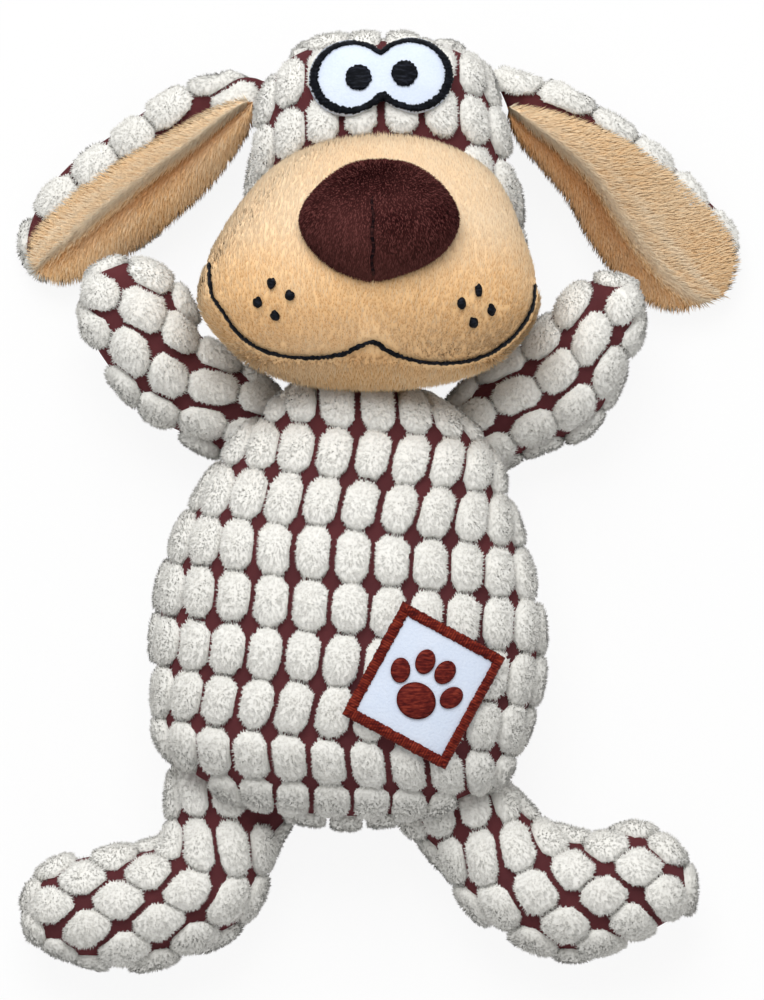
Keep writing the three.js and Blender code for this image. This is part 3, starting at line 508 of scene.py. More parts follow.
class Cloth:
    """A panel of cloth on a form, with flat coordinates.

    The first runs along the panel's middle line and the second across from it, in millimetres of cloth.
    """

    beyond = 1.1  # how far the measured rows go on round the seams, in radians
    most = 1.6  # the same as a share of the half girth

    def __init__(self, form: Form, side: Side, grow: float, sections: int = 90, stations: int = 91) -> None:
        """Measures the panel.

        Args:
            form: What it is sewn round.
            side: Its front or its back.
            grow: How far out of the form it lies.
            sections: How many rows of points are measured.
            stations: How many points there are in a row.
        """
        self.form = form
        self.side = side
        self.grow = grow
        angles = np.linspace(np.pi + self.beyond, -self.beyond, stations) * side.value
        grid = form.points(form.ease(sections), angles, grow)
        grid[..., 2] = np.maximum(grid[..., 2], 0.0)
        self.grid = grid
        steps = np.linalg.norm(np.diff(grid, axis=1), axis=2)
        run = np.concatenate([np.zeros((len(grid), 1)), np.cumsum(steps, axis=1)], axis=1)
        middle = stations // 2
        seam = self.beyond / (np.pi + 2 * self.beyond) * (stations - 1)
        numbers = np.arange(stations)
        low, high = (
            np.array([np.interp(at, numbers, row) for row in run]) for at in (seam, stations - 1 - seam)
        )
        self.half_girth = np.maximum((high - low) / 2, 1e-3)
        spread = np.linspace(-self.most, self.most, stations)
        share = (run - run[:, middle : middle + 1]) / self.half_girth[:, None]
        self.station = np.array([np.interp(spread, row, numbers) for row in share])
        along = np.linalg.norm(np.diff(grid[:, middle], axis=0), axis=1)
        self.along = np.concatenate([[0.0], np.cumsum(along)])
        across = np.gradient(grid, axis=1)
        down = np.gradient(grid, axis=0)
        normal = np.cross(down, across) * side.value
        normal[0], normal[-1] = normal[1].mean(0), normal[-2].mean(0)
        size = np.linalg.norm(normal, axis=2, keepdims=True)
        self.normal = normal / np.maximum(size, 1e-9)
        inner = self.normal[len(grid) // 2, middle, 2] * side.value
        if inner < 0:
            self.normal = -self.normal

    @staticmethod
    def _read(table: Array, row: Array, column: Array) -> Array:
        """Reads a table between its rows and columns.

        Args:
            table: The table.
            row: Which row, with a fraction.
            column: Which column, with a fraction.

        Returns:
            The values there.
        """
        r = np.clip(row, 0, table.shape[0] - 1.001)
        c = np.clip(column, 0, table.shape[1] - 1.001)
        r0, c0 = r.astype(int), c.astype(int)
        fr, fc = r - r0, c - c0
        if table.ndim == 3:
            fr, fc = fr[:, None], fc[:, None]
        top = table[r0, c0] * (1 - fc) + table[r0, c0 + 1] * fc
        bottom = table[r0 + 1, c0] * (1 - fc) + table[r0 + 1, c0 + 1] * fc
        return top * (1 - fr) + bottom * fr

    def _girth(self, flat: Array) -> Array:
        """Half the panel's girth where each point is along it."""
        return np.interp(flat[:, 0], self.along, self.half_girth)

    def _place(self, flat: Array) -> tuple[Array, Array]:
        """Finds flat coordinates in the measured grid.

        Args:
            flat: Points along and across.

        Returns:
            The row and the column.
        """
        row = np.interp(flat[:, 0], self.along, np.arange(len(self.along)))
        share = flat[:, 1] / self._girth(flat)
        slot = (np.clip(share, -self.most, self.most) / self.most + 1) / 2 * (self.station.shape[1] - 1)
        return row, self._read(self.station, row, slot)

    def lay(self, flat: Array, height: Array) -> Array:
        """Puts points of flat cloth on the form."""
        row, column = self._place(flat)
        return self._read(self.grid, row, column) + self._read(self.normal, row, column) * height[:, None]

    def inside(self, flat: Array) -> Array:
        """How far each point is within the panel's seams, in millimetres, and less than 0 outside."""
        girth = self._girth(flat)
        return np.minimum((1 - np.abs(flat[:, 1] / girth)) * girth, self.ends(flat))

    def ends(self, flat: Array) -> Array:
        """How far each point is from the panel's nearer end, in millimetres."""
        return np.minimum(flat[:, 0], self.along[-1] - flat[:, 0])

    def under(self, x: float, y: float) -> Flat:
        """The flat coordinates of the cloth over a place.

        Args:
            x: The place's X in millimetres.
            y: Its Y.

        Returns:
            The nearest point along and across.
        """
        away = np.hypot(self.grid[..., 0] - x, self.grid[..., 1] - y)
        row, column = np.unravel_index(np.argmin(away), away.shape)
        spread = np.linspace(-self.most, self.most, self.station.shape[1])
        share = np.interp(column, self.station[row], spread)
        flat = np.array([self.along[row], share * self.half_girth[row]])
        for _ in range(12):
            near = self.lay(flat + np.array([[0.0, 0.0], [1.0, 0.0], [0.0, 1.0]]), np.zeros(3))[:, :2]
            slopes = np.column_stack([near[1] - near[0], near[2] - near[0]])
            flat = flat + np.clip(np.linalg.lstsq(slopes, np.array([x, y]) - near[0], rcond=None)[0], -5, 5)
        return float(flat[0]), float(flat[1])


# Meshes


class Surface:
    """A form's surface at one height, for laying things on it and for telling what is inside it."""

    def __init__(self, form: Form, grow: float = 0.0, sides: int = 96, rings: int = 80) -> None:
        """Builds the surface.

        Args:
            form: The form.
            grow: How far out of the form it is.
            sides: How many faces there are round it.
            rings: How many there are along it.
        """
        bm = shell(form, grow, sides, rings)
        self.tree = BVHTree.FromBMesh(bm)
        bm.free()

    def height(self, x: float, y: float) -> float:
        """The height of its front.

        Args:
            x: A place's X in millimetres.
            y: Its Y.

        Returns:
            The Z there, or that of the nearest edge beside the form.
        """
        spot = self.tree.ray_cast(Vector((x * MM, y * MM, 1.0)), Vector((0, 0, -1)))[0]
        if spot is None:
            spot = self.tree.find_nearest(Vector((x * MM, y * MM, 0.05)))[0]
        return spot.z / MM

    def nearest(self, points: Array, heights: Array) -> Array:
        """The surface's points nearest to some points, raised off it.

        Args:
            points: Points in millimetres.
            heights: How far off the surface each comes to stand.

        Returns:
            The raised points.
        """
        raised = []
        for point, tall in zip(points, heights):
            spot, normal = self.tree.find_nearest(Vector(point) * MM)[:2]
            raised.append((spot + normal * (tall * MM))[:])
        return np.array(raised) / MM

    def depth_of(self, points: Array) -> Array:
        """How deep points are inside, in millimetres, and less than 0 outside.

        Args:
            points: Points in millimetres.

        Returns:
            A depth for each.
        """
        depths = np.empty(len(points))
        for index, point in enumerate(points):
            spot = Vector(point) * MM
            near, normal, _, far = self.tree.find_nearest(spot)
            depths[index] = far / MM * (1 if (spot - near).dot(normal) < 0 else -1)
        return depths


class EndCloth:
    """A strip of cloth over a form's far end, where the rows of its two panels leave off.

    The first flat coordinate runs from the back to the front and the second along the seam, in millimetres.
    """

    side = Side.FRONT
    start = 180.0  # the first coordinate on the seam, which is past the panels' own
    ahead = 3.0  # how far before the form its flat lies
    end_share = 0.85  # from where on the form's line shows its way
    clear = 99.0  # more than any distance to an end counts

    def __init__(self, form: Form, grow: float, reach: float) -> None:
        """Places the strip.

        Args:
            form: What it is sewn round.
            grow: How far out of the form it lies.
            reach: How far it goes to each side.
        """
        self.form = form
        self.grow = grow
        self.reach = reach
        self.skin = Surface(form, grow)
        rings = form.points(np.array([self.end_share, 1.0]), np.array([0.0, np.pi]), grow).mean(axis=1)
        way = (rings[1] - rings[0]) * (1, 1, 0)
        way /= np.linalg.norm(way)
        self.tip = rings[1] + way * self.ahead
        self.across = np.array([-way[1], way[0], 0.0])

    def under(self, x: float, y: float) -> Flat:
        """The middle of the strip, wherever the panels' rows are laid out from."""
        return self.start, 0.0

    def lay(self, flat: Array, height: Array) -> Array:
        """Puts points of the strip on the form, each standing off it by a height."""
        rise = (flat[:, :1] - self.start) * (0, 0, 1)
        return self.skin.nearest(self.tip + rise + flat[:, 1:] * self.across, height)

    def inside(self, flat: Array) -> Array:
        """How far points are inside the strip's sides."""
        return self.reach - np.hypot(flat[:, 1], (flat[:, 0] - self.start) * 2)

    def ends(self, flat: Array) -> Array:
        """How far points are from where rows run together, which they don't here."""
        return np.full(len(flat), self.clear)


def face_out(bm: Mesh) -> Mesh:
    """Turns a mesh's faces outwards.

    Args:
        bm: The mesh, whose points may have moved.

    Returns:
        The same mesh.
    """
    bm.normal_update()
    bmesh.ops.recalc_face_normals(bm, faces=bm.faces)
    bm.normal_update()
    return bm


def shell(form: Form, grow: float, sides: int, rings: int) -> Mesh:
    """A closed skin on a form, flat where it rests on the floor.

    Args:
        form: The form.
        grow: How far out of the form it is, in millimetres.
        sides: How many faces there are round it.
        rings: How many there are along it.

    Returns:
        The skin, in metres.
    """
    bm = bmesh.new()
    bmesh.ops.create_uvsphere(bm, u_segments=sides, v_segments=rings, radius=1.0)
    angles = np.arange(sides) * 2 * np.pi / sides
    grid = form.points(form.ease(rings), angles, grow)
    for vert in bm.verts:
        ring = round(math.acos(max(-1.0, min(1.0, vert.co.z))) * rings / math.pi)
        side = round(math.atan2(vert.co.y, vert.co.x) * sides / (2 * math.pi)) % sides
        vert.co = grid[ring, side] * MM
        vert.co.z = max(vert.co.z, 0.0)
    return face_out(bm)


def piece_of(name: str, bm: Mesh, finish: Finish, smooth: bool = True) -> Piece:
    """Makes a piece of a mesh.

    Args:
        name: The piece's name.
        bm: Its mesh, which is freed.
        finish: Its finish.
        smooth: Whether its faces are shaded smooth.

    Returns:
        The piece, at the origin.
    """
    mesh = bpy.data.meshes.new(name)
    bm.to_mesh(mesh)
    bm.free()
    if smooth:
        mesh.shade_smooth()
    mesh.materials.append(finish.material())
    piece = bpy.data.objects.new(name, mesh)
    bpy.context.scene.collection.objects.link(piece)
    return piece


def settle(piece: Piece, body: str, *nodes: str) -> None:
    """Makes a piece ride on a body, in the place of CAD nodes if it has any, and reports it."""
    if nodes:
        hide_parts(*nodes)
    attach(piece, body)
    log.info("%s rides on %s: %d faces", piece.name, body, len(piece.data.polygons))


def bend(piece: Piece, root: str, tip: str, start: Spot, end: Spot) -> None:
    """Bakes a piece's placement into its mesh and logs the two bodies that it joins."""
    tuple(part * MM for part in start)
    tuple(part * MM for part in end)
    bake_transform(piece)
    log.info("%s bends from %s to %s: %d faces", piece.name, root, tip, len(piece.data.polygons))


def patch_on(
    surface: Height,
    centre: Flat,
    outline: Outline,
    low: float,
    high: float,
    steps: int = 64,
    rings: int = 16,
    crown: float = 0.12,
) -> Mesh:
    """A closed layer on a surface, within an outline that is seen whole from its middle.

    Args:
        surface: The surface's height over a place.
        centre: The middle in millimetres.
        outline: The outline's point at an angle, from the middle.
        low: How far over the surface the layer starts.
        high: How far over it ends.
        steps: How many faces there are round it.
        rings: How many there are over it and under it.
        crown: The share of its reach over which its edge is rounded.

    Returns:
        The layer, in metres.
    """
    bm = bmesh.new()
    bmesh.ops.create_uvsphere(bm, u_segments=steps, v_segments=rings, radius=1.0)
    for vert in bm.verts:
        theta = math.acos(max(-1.0, min(1.0, vert.co.z))) / math.pi
        reach = 1 - abs(1 - 2 * theta)
        east, north = outline(math.atan2(vert.co.y, vert.co.x))
        x, y = centre[0] + east * reach, centre[1] + north * reach
        edge = max(0.0, (reach - 1 + crown) / crown) ** 2
        top = high - (high - low) * 0.5 * edge
        vert.co = Vector((x, y, surface(x, y) + (top if theta <= 0.5 else low))) * MM
    return face_out(bm)


def band_on(
    surface: Height,
    path: Array,
    width: float,
    low: float,
    high: float,
    closed: bool,
    stitch: float = 0.8,
    ragged: float = 0.12,
    seed: int = 1,
    corners: Sequence[int] = (),
    wide: Union[Reading, None] = None,
    steepest: float = 1.5,
) -> Mesh:
    """A raised line of satin stitches on a surface.

    Args:
        surface: The surface's height over a place.
        path: The line's points in millimetres, close together.
        width: How wide it is.
        low: How far over the surface its underside is.
        high: How far over the surface its top is.
        closed: Whether the line comes back to its start.
        stitch: How far apart the stitches are.
        ragged: How uneven its edges are, as a share of the width.
        seed: The seed of that unevenness.
        corners: Which of the line's points are sharp corners.
        wide: How wide the line is at some places, as shares of the width.
        steepest: The most that the line is narrowed by where the surface falls away steeply to its side.

    Returns:
        The line, in metres.
    """
    draw = np.random.default_rng(seed)
    loop = np.vstack([path, path[:1]]) if closed else path
    run = np.concatenate([[0.0], np.cumsum(np.linalg.norm(np.diff(loop, axis=0), axis=1))])
    count = max(4, int(run[-1] / (stitch / 2)) // 2 * 2)
    places = np.linspace(0, run[-1], count + 1)
    for corner in corners:
        places[np.argmin(np.abs(places - run[corner]))] = run[corner]
    at = np.column_stack([np.interp(places, run, loop[:, part]) for part in (0, 1)])
    ways = np.diff(at, axis=0)
    ways /= np.linalg.norm(ways, axis=1)[:, None]
    first, last = (ways[-1:], ways[:1]) if closed else (ways[:1], ways[-1:])
    heading = np.vstack([first, ways]) + np.vstack([ways, last])
    heading /= np.linalg.norm(heading, axis=1)[:, None]
    mitre = 1 / np.maximum((heading * np.vstack([ways, last])).sum(1), 0.7)
    aside = np.column_stack([-heading[:, 1], heading[:, 0]]) * mitre[:, None]
    if wide:
        aside *= wide(at)[:, None]
    rises = [surface(*(spot + way / 2)) - surface(*(spot - way / 2)) for spot, way in zip(at, aside)]
    aside /= np.minimum(np.hypot(1.0, rises), steepest)[:, None]
    wander = 1 + draw.uniform(-ragged, ragged, (count + 1, 2))
    wander[-1] = wander[0]
    swell = np.where(np.arange(count + 1) % 2 == 0, 1.0, 0.72)
    tones = np.repeat(draw.uniform(0, 1, count // 2 + 1), 2)[: count + 1]
    if closed:
        swell[-1], tones[-1] = swell[0], tones[0]
    around = 10
    bm = bmesh.new()
    groove, strand = (bm.verts.layers.float.new(name) for name in ("groove", "strand"))
    bmesh.ops.create_grid(bm, x_segments=count, y_segments=around, size=1.0)
    for vert in bm.verts:
        step = round((vert.co.x + 1) / 2 * count)
        angle = round((vert.co.y + 1) / 2 * around) * 2 * math.pi / around
        taper = 1.0 if closed else min(1.0, 0.02 + 2 * min(step, count - step) / 3)
        taper = 0.0 if not closed and step in (0, count) else taper
        side = math.cos(angle) * width / 2 * wander[step, 0 if math.cos(angle) > 0 else 1] * taper
        x, y = at[step] + aside[step] * side
        lift = max(0.0, math.sin(angle)) ** 0.7 * (high - low) * swell[step] * taper
        vert.co = Vector((x, y, surface(x, y) + low + lift)) * MM
        # groove marks the lower stitch steps, where the thread finish paints shade; strand is each stitch's
        # random tone
        vert[groove], vert[strand] = step % 2, tones[step]
    bmesh.ops.remove_doubles(bm, verts=bm.verts, dist=0.002 * MM)
    return face_out(bm)


# Pile


@dataclass(frozen=True)
class Pile:
    """The fibres that stand on a piece."""

    plain_strand = 0.4  # the strand attribute of the piece itself

    density: float  # to a square millimetre
    length: float
    base: float  # the radius at the root
    scatter: float = 0.35  # how far fibres lean at random
    shortest: float = 0.6  # as a share of the length
    thinnest: float = 0.25  # how tall fibres stay where the pile thins out, as a share of their length
    seed: int = 1
    contrast: float = 1.0  # how far the fibres' tones differ
    ground_tone: float = 0.45  # the piece's own tone, between the painted root shade at 0 and a fibre's tip colour at 1

    def grow_on(self, piece: Piece) -> None:
        """Grows the fibres on a piece and keeps the piece under them.

        Each fibre is a slim three-sided cone that leans with the mesh's lean attribute, thins out where its
        pile attribute falls and takes the mesh's normal.

        Args:
            piece: The piece, whose mesh is replaced.
        """
        tree = bpy.data.node_groups.new("pile", "GeometryNodeTree")
        tree.interface.new_socket("Geometry", in_out="INPUT", socket_type="NodeSocketGeometry")
        tree.interface.new_socket("Geometry", in_out="OUTPUT", socket_type="NodeSocketGeometry")
        graph = Graph(tree)
        cloth = graph.node("NodeGroupInput")
        named, named_way = {"data_type": "FLOAT"}, {"data_type": "FLOAT_VECTOR"}
        there = graph.node("GeometryNodeInputNamedAttribute", named, {"Name": "pile"})
        lean = graph.node("GeometryNodeInputNamedAttribute", named_way, {"Name": "lean"})
        facing = graph.node("GeometryNodeInputNamedAttribute", named_way, {"Name": "facing"})
        density = there * (self.density / MM**2)
        standing_tall = there * (1 - self.thinnest) + self.thinnest
        roots = graph.node(
            "GeometryNodeDistributePointsOnFaces",
            {"distribute_method": "RANDOM"},
            {"Mesh": cloth, "Density": density, "Seed": self.seed},
        )
        loose = graph.node(
            "FunctionNodeRandomValue",
            named_way,
            {0: (-self.scatter,) * 3, 1: (self.scatter,) * 3, "Seed": self.seed + 1},
        )
        add = {"operation": "ADD"}
        leaning = graph.node("ShaderNodeVectorMath", add, {0: facing, 1: lean})
        heading = graph.node("ShaderNodeVectorMath", add, {0: leaning, 1: loose})
        turned = graph.node("FunctionNodeAlignRotationToVector", {"axis": "Z"}, {"Vector": heading})
        tall = graph.node(
            "FunctionNodeRandomValue", named, {2: self.shortest, 3: 1.0, "Seed": self.seed + 2}, 1
        )
        size = graph.node("ShaderNodeCombineXYZ", None, {0: 1.0, 1: 1.0, 2: tall * standing_tall})
        sizes = {"Vertices": 3, "Side Segments": 1, "Radius Top": 0.0}
        sizes |= {"Radius Bottom": self.base * MM, "Depth": self.length * MM}
        cone = graph.node("GeometryNodeMeshCone", {"fill_type": "NGON"}, sizes)
        spot = graph.node("GeometryNodeInputPosition")
        spot_z = graph.node("ShaderNodeSeparateXYZ", None, {0: spot}, "Z") * (1 / (self.length * MM))
        store = {"data_type": "FLOAT", "domain": "POINT"}
        fibre = graph.node(
            "GeometryNodeStoreNamedAttribute", store, {"Geometry": cone, "Name": "tip", "Value": spot_z}
        )
        wide = {2: 0.5 - self.contrast / 2, 3: 0.5 + self.contrast / 2, "Seed": self.seed + 3}
        tones = graph.node("FunctionNodeRandomValue", named, wide, 1)
        roots = graph.node(
            "GeometryNodeStoreNamedAttribute", store, {"Geometry": roots, "Name": "strand", "Value": tones}
        )
        standing = graph.node(
            "GeometryNodeInstanceOnPoints",
            None,
            {"Points": roots, "Instance": fibre, "Rotation": turned, "Scale": size},
        )
        real = graph.node("GeometryNodeRealizeInstances", None, {"Geometry": standing})
        real = graph.node(
            "GeometryNodeSetMaterial", None, {"Geometry": real, "Material": piece.data.materials[0]}
        )
        both = graph.node("GeometryNodeJoinGeometry")
        for part in (real, cloth):
            tree.links.new(part.output, both.output.node.inputs[0])
        graph.node("NodeGroupOutput", None, {0: both})
        growth = piece.modifiers.new("pile", "NODES")
        growth.node_group = tree
        depsgraph = bpy.context.evaluated_depsgraph_get()
        grown = bpy.data.meshes.new_from_object(piece.evaluated_get(depsgraph), depsgraph=depsgraph)
        piece.modifiers.clear()
        old, piece.data = piece.data, grown
        bpy.data.meshes.remove(old)
        bpy.data.node_groups.remove(tree)
        spots = np.empty(len(grown.vertices) * 3)
        grown.vertices.foreach_get("co", spots)
        spots[2::3] = np.maximum(spots[2::3], 0.0)
        grown.vertices.foreach_set("co", spots)
        facing_out = np.empty(len(grown.vertices) * 3, np.float32)
        grown.attributes["facing"].data.foreach_get("vector", facing_out)
        grown.shade_smooth()
        grown.normals_split_custom_set_from_vertices(facing_out.reshape(-1, 3))


def dress(
    piece: Piece,
    pile: Pile,
    covered: Union[Reading, None] = None,
    lean: Union[Callable[[Array, Array], Array], None] = None,
    shade: Union[Reading, None] = None,
) -> None:
    """Writes what the pile needs on a piece and grows it.

    Args:
        piece: The piece.
        pile: Its fibres.
        covered: Which of some points, in millimetres, carry no fibres.
        lean: Which way fibres lean at some points with some normals.
        shade: How much painted light the colour carries at some points, from -1 for a painted sheen to 1 for
            a painted shadow in a fold.
    """
    mesh = piece.data
    count = len(mesh.vertices)
    spots, normals = np.empty(count * 3), np.empty(count * 3)
    mesh.vertices.foreach_get("co", spots)
    mesh.vertex_normals.foreach_get("vector", normals)
    spots, normals = spots.reshape(-1, 3) / MM, normals.reshape(-1, 3)
    bare = covered(spots) if covered else np.zeros(count, bool)
    bare |= spots[:, 2] < ON_FLOOR
    full, way = np.ones(count, np.float32), np.zeros(count * 3, np.float32)
    if "fullness" in mesh.attributes:
        mesh.attributes["fullness"].data.foreach_get("value", full)
        mesh.attributes["spread"].data.foreach_get("vector", way)
        fronts = np.zeros(count * 3, np.float32)
        mesh.attributes["front"].data.foreach_get("vector", fronts)
        normals = fronts.reshape(-1, 3)
    way = lean(spots, normals) if lean else way.reshape(-1, 3)
    values = {
        "pile": full * (1.0 - bare),
        "tip": np.full(count, pile.ground_tone),
        "strand": np.full(count, pile.plain_strand),
        "shade": shade(spots) if shade else np.zeros(count),
    }
    for name, value in values.items():
        mesh.attributes.new(name, "FLOAT", "POINT").data.foreach_set("value", value.astype(np.float32))
    for name, value in {"lean": way, "facing": normals}.items():
        layer = mesh.attributes.new(name, "FLOAT_VECTOR", "POINT")
        layer.data.foreach_set("vector", value.astype(np.float32).ravel())
    pile.grow_on(piece)


# Tufts


@dataclass(frozen=True)
class Tufts:
    """Rows of raised tufts in woven cloth, set square to each other."""

    anchor: Flat  # the middle of one tuft
    turn: float  # from the form's length to the tufts' long side
    pitch: Flat = (14.2, 10.7)  # along the long side, and across it
    size: Flat = (14.0, 9.35)
    height: float = 2.9
    spread: float = 3.5  # how far the pile lies over towards a tuft's edge
    seed: int = 1

    # Each point of a tuft's outline as shares of its half width and half length
    outline: tuple[Flat, ...] = (
        (1, 0), (0.98, 0.6), (0.5, 0.97), (0, 1), (-0.5, 0.97), (-0.98, 0.6),
        (-1, 0), (-0.98, -0.6), (-0.5, -0.97), (0, -1), (0.5, -0.97), (0.98, -0.6),
    )
    # A tuft's reach and height from its crown down to its foot
    profile: tuple[Flat, ...] = (
        (0, 1), (0.6, 0.97), (0.9, 0.76), (1, 0.34), (0.97, -0.05), (0.6, -0.1), (0, -0.1),
    )
    # How far the pile leans out from upright there, in radians
    tilt: tuple[float, ...] = (0.0, 0.15, 0.45, 0.95, 1.4, 1.5, 1.5)
    flank_pile: float = 0.35  # how full and long the pile is on a tuft's long sides
    rows: int = 16  # to each side of the anchor, more than fit on any panel
    front_past_seam: float = 0.3  # how far middles may be past the seam, as shares of a tuft's width
    back_past_seam: float = -0.6
    front_before_end: float = 2.0  # how far middles stay from the panel's ends
    back_before_end: float = 4.5
    near_end: float = 10.0  # tufts closer to the form's ends than this are draped one by one
    bow: float = 0.0  # how far rows sag away from the anchor's column, to a square millimetre
    bend: float = 0.0  # how far columns turn off before the anchor, to a square millimetre

    def bent(self, cloth: Cloth, spots: Array) -> Array:
        """Where spots of the straight rows lie once the rows sag and turn off."""
        away = spots - cloth.under(*self.anchor)
        before = np.minimum(away[:, 0], 0)
        return spots + np.column_stack([self.bow * away[:, 1] ** 2, -self.bend * before**2])

    def middles(self, cloth: Cloth) -> Array:
        """The tufts' middles on a cloth.

        Args:
            cloth: The cloth.

        Returns:
            Points along and across in straight rows, some of them just past the seams.
        """
        start = np.array(cloth.under(*self.anchor))
        turn = math.radians(self.turn)
        long_way = np.array([math.cos(turn), math.sin(turn)]) * self.pitch[0]
        short_way = np.array([-math.sin(turn), math.cos(turn)]) * self.pitch[1]
        span = range(-self.rows, self.rows + 1)
        spots = np.array([start + row * long_way + column * short_way for row in span for column in span])
        laid = self.bent(cloth, spots)
        front = cloth.side is Side.FRONT
        past_seam = self.size[1] * (self.front_past_seam if front else self.back_past_seam)
        before_end = self.front_before_end if front else self.back_before_end
        return spots[(cloth.inside(laid) > -past_seam) & (cloth.ends(laid) > before_end)]

    def drape(
        self, cloth: Cloth, skin: Surface, middles: Array, owners: Array
    ) -> Callable[[Array, Array], Array]:
        """A way of laying the tufts' points that also holds near the ends, where the rows run together.

        Args:
            cloth: The cloth.
            skin: The surface that the cloth lies on.
            middles: The tufts' middles.
            owners: Which tuft each point is of.

        Returns:
            The way, which takes flat points and their heights and gives points in space.
        """
        close = np.nonzero(cloth.ends(middles) < self.near_end)[0]

        def laid(flat: Array, height: Array) -> Array:
            spots = cloth.lay(flat, height)
            for index in close:
                own = owners == index
                near = cloth.lay(middles[index] + np.array([[0.0, 0.0], [0.4, 0.0], [0.0, 0.4]]), np.zeros(3))
                along = (near[1] - near[0]) / np.linalg.norm(near[1] - near[0])
                across = near[2] - near[0]
                across = across - along * (across @ along)
                across /= np.linalg.norm(across)
                away = flat[own] - middles[index]
                spots[own] = skin.nearest(near[0] + away[:, :1] * along + away[:, 1:] * across, height[own])
            return spots

        return laid

    def weave(
        self,
        bm: Mesh,
        cloth: Cloth,
        dropped: Reading,
        press: Union[Reading, None] = None,
    ) -> int:
        """Adds the tufts of one panel to a mesh.

        Args:
            bm: The mesh, in metres.
            cloth: The panel.
            dropped: Which middles, in millimetres, carry no tuft because a neighbour hides them.
            press: Moves the tufts' points where something lies on them.

        Returns:
            How many tufts there are.
        """
        bake = bm.loops.layers.uv.get("OFBake") or bm.loops.layers.uv.new("OFBake")
        pile = bm.verts.layers.float.get("fullness") or bm.verts.layers.float.new("fullness")
        lean = bm.verts.layers.float_vector.get("spread") or bm.verts.layers.float_vector.new("spread")
        front = bm.verts.layers.float_vector.get("front") or bm.verts.layers.float_vector.new("front")
        draw = np.random.default_rng(self.seed)
        middles = self.middles(cloth)
        half_up = np.full(len(middles), self.height / 2)
        middles = middles[~dropped(cloth.lay(self.bent(cloth, middles), half_up))]
        if not len(middles):
            return 0
        turn = math.radians(self.turn)
        sides, rings = len(self.outline), len(self.profile) - 1
        outline = np.array(self.outline) / 2
        verts, flats, heights, piles, ways, tilts, owners = [], [], [], [], [], [], []
        for index, middle in enumerate(middles):
            made = bmesh.ops.create_uvsphere(bm, u_segments=sides, v_segments=rings, radius=1.0)["verts"]
            scale = draw.uniform(0.95, 1.03, 2)
            tall = draw.uniform(0.9, 1.08)
            shift = draw.uniform(-0.25, 0.25, 2)
            uneven = draw.uniform(0.93, 1.04, sides)
            for vert in made:
                ring = round(math.acos(max(-1.0, min(1.0, vert.co.z))) * rings / math.pi)
                side = round(math.atan2(vert.co.y, vert.co.x) * sides / (2 * math.pi)) % sides
                reach, height = self.profile[ring]
                across, along = outline[side] * reach * uneven[side]
                across *= self.size[1] * scale[1]
                along *= self.size[0] * scale[0]
                flats.append((
                    middle[0] + shift[0] + along * math.cos(turn) - across * math.sin(turn),
                    middle[1] + shift[1] + along * math.sin(turn) + across * math.cos(turn),
                ))
                heights.append(height * self.height * tall)
                piles.append(1.0 if reach < 0.95 or abs(outline[side][1]) > 0.3 else self.flank_pile)
                ways.append((flats[-1][0] - middle[0], flats[-1][1] - middle[1]))
                tilts.append(self.tilt[ring])
                owners.append(index)
            verts += made
        flat, height = self.bent(cloth, np.array(flats)), np.array(heights)
        middles = self.bent(cloth, middles)
        seam = np.clip(cloth.inside(flat) / 2.5, 0, 1)
        height = np.where(height > 0, height * (0.85 + 0.15 * seam), height)
        laid = self.drape(cloth, Surface(cloth.form, cloth.grow), middles, np.array(owners))
        spots = laid(flat, height)
        ways = laid(flat + np.array(ways) * 0.05, height) - spots
        up = laid(flat, height + 1) - spots
        up /= np.maximum(np.linalg.norm(up, axis=1), 1e-9)[:, None]
        out = ways / np.maximum(np.linalg.norm(ways, axis=1), 1e-9)[:, None]
        tilted = np.array(tilts)[:, None]
        fronts = up * np.cos(tilted) + out * np.sin(tilted)
        if press:
            spots = press(spots)
        spots[:, 2] = np.maximum(spots[:, 2], 0.0)
        shift = 0.5 if cloth.side is Side.BACK else 0.0
        for vert, spot, place, full, way, facing in zip(verts, spots, flat, piles, ways, fronts):
            vert.co = Vector(spot) * MM
            vert[pile] = full
            vert[front] = Vector(facing)
            vert[lean] = Vector(way) * self.spread
            for loop in vert.link_loops:
                loop[bake].uv = (place[0] / 400 + shift, place[1] / 400 + 0.5)
        return len(middles)


def clear_of(*solids: tuple[Surface, float]) -> Reading:
    """A test for what a neighbour hides.

    Args:
        solids: Each neighbour's surface and how deep in it a point counts as hidden, in millimetres.

    Returns:
        The test, which takes points and says which of them are hidden.
    """
    def hidden(points: Array) -> Array:
        found = np.zeros(len(points), bool)
        for surface, depth in solids:
            found |= surface.depth_of(points) > depth
        return found

    return hidden


def none_of(points: Array) -> Array:
    """A test that holds for no point."""
    return np.zeros(len(points), bool)


def either(*tests: Reading) -> Reading:
    """A test that holds for a point where any of some tests does."""
    return lambda points: np.logical_or.reduce([test(points) for test in tests])


def hump(values: Array, middle: float, half: float) -> Array:
    """A smooth hump over values, which is 1 at its middle."""
    return np.exp(-(((values - middle) / half) ** 2))


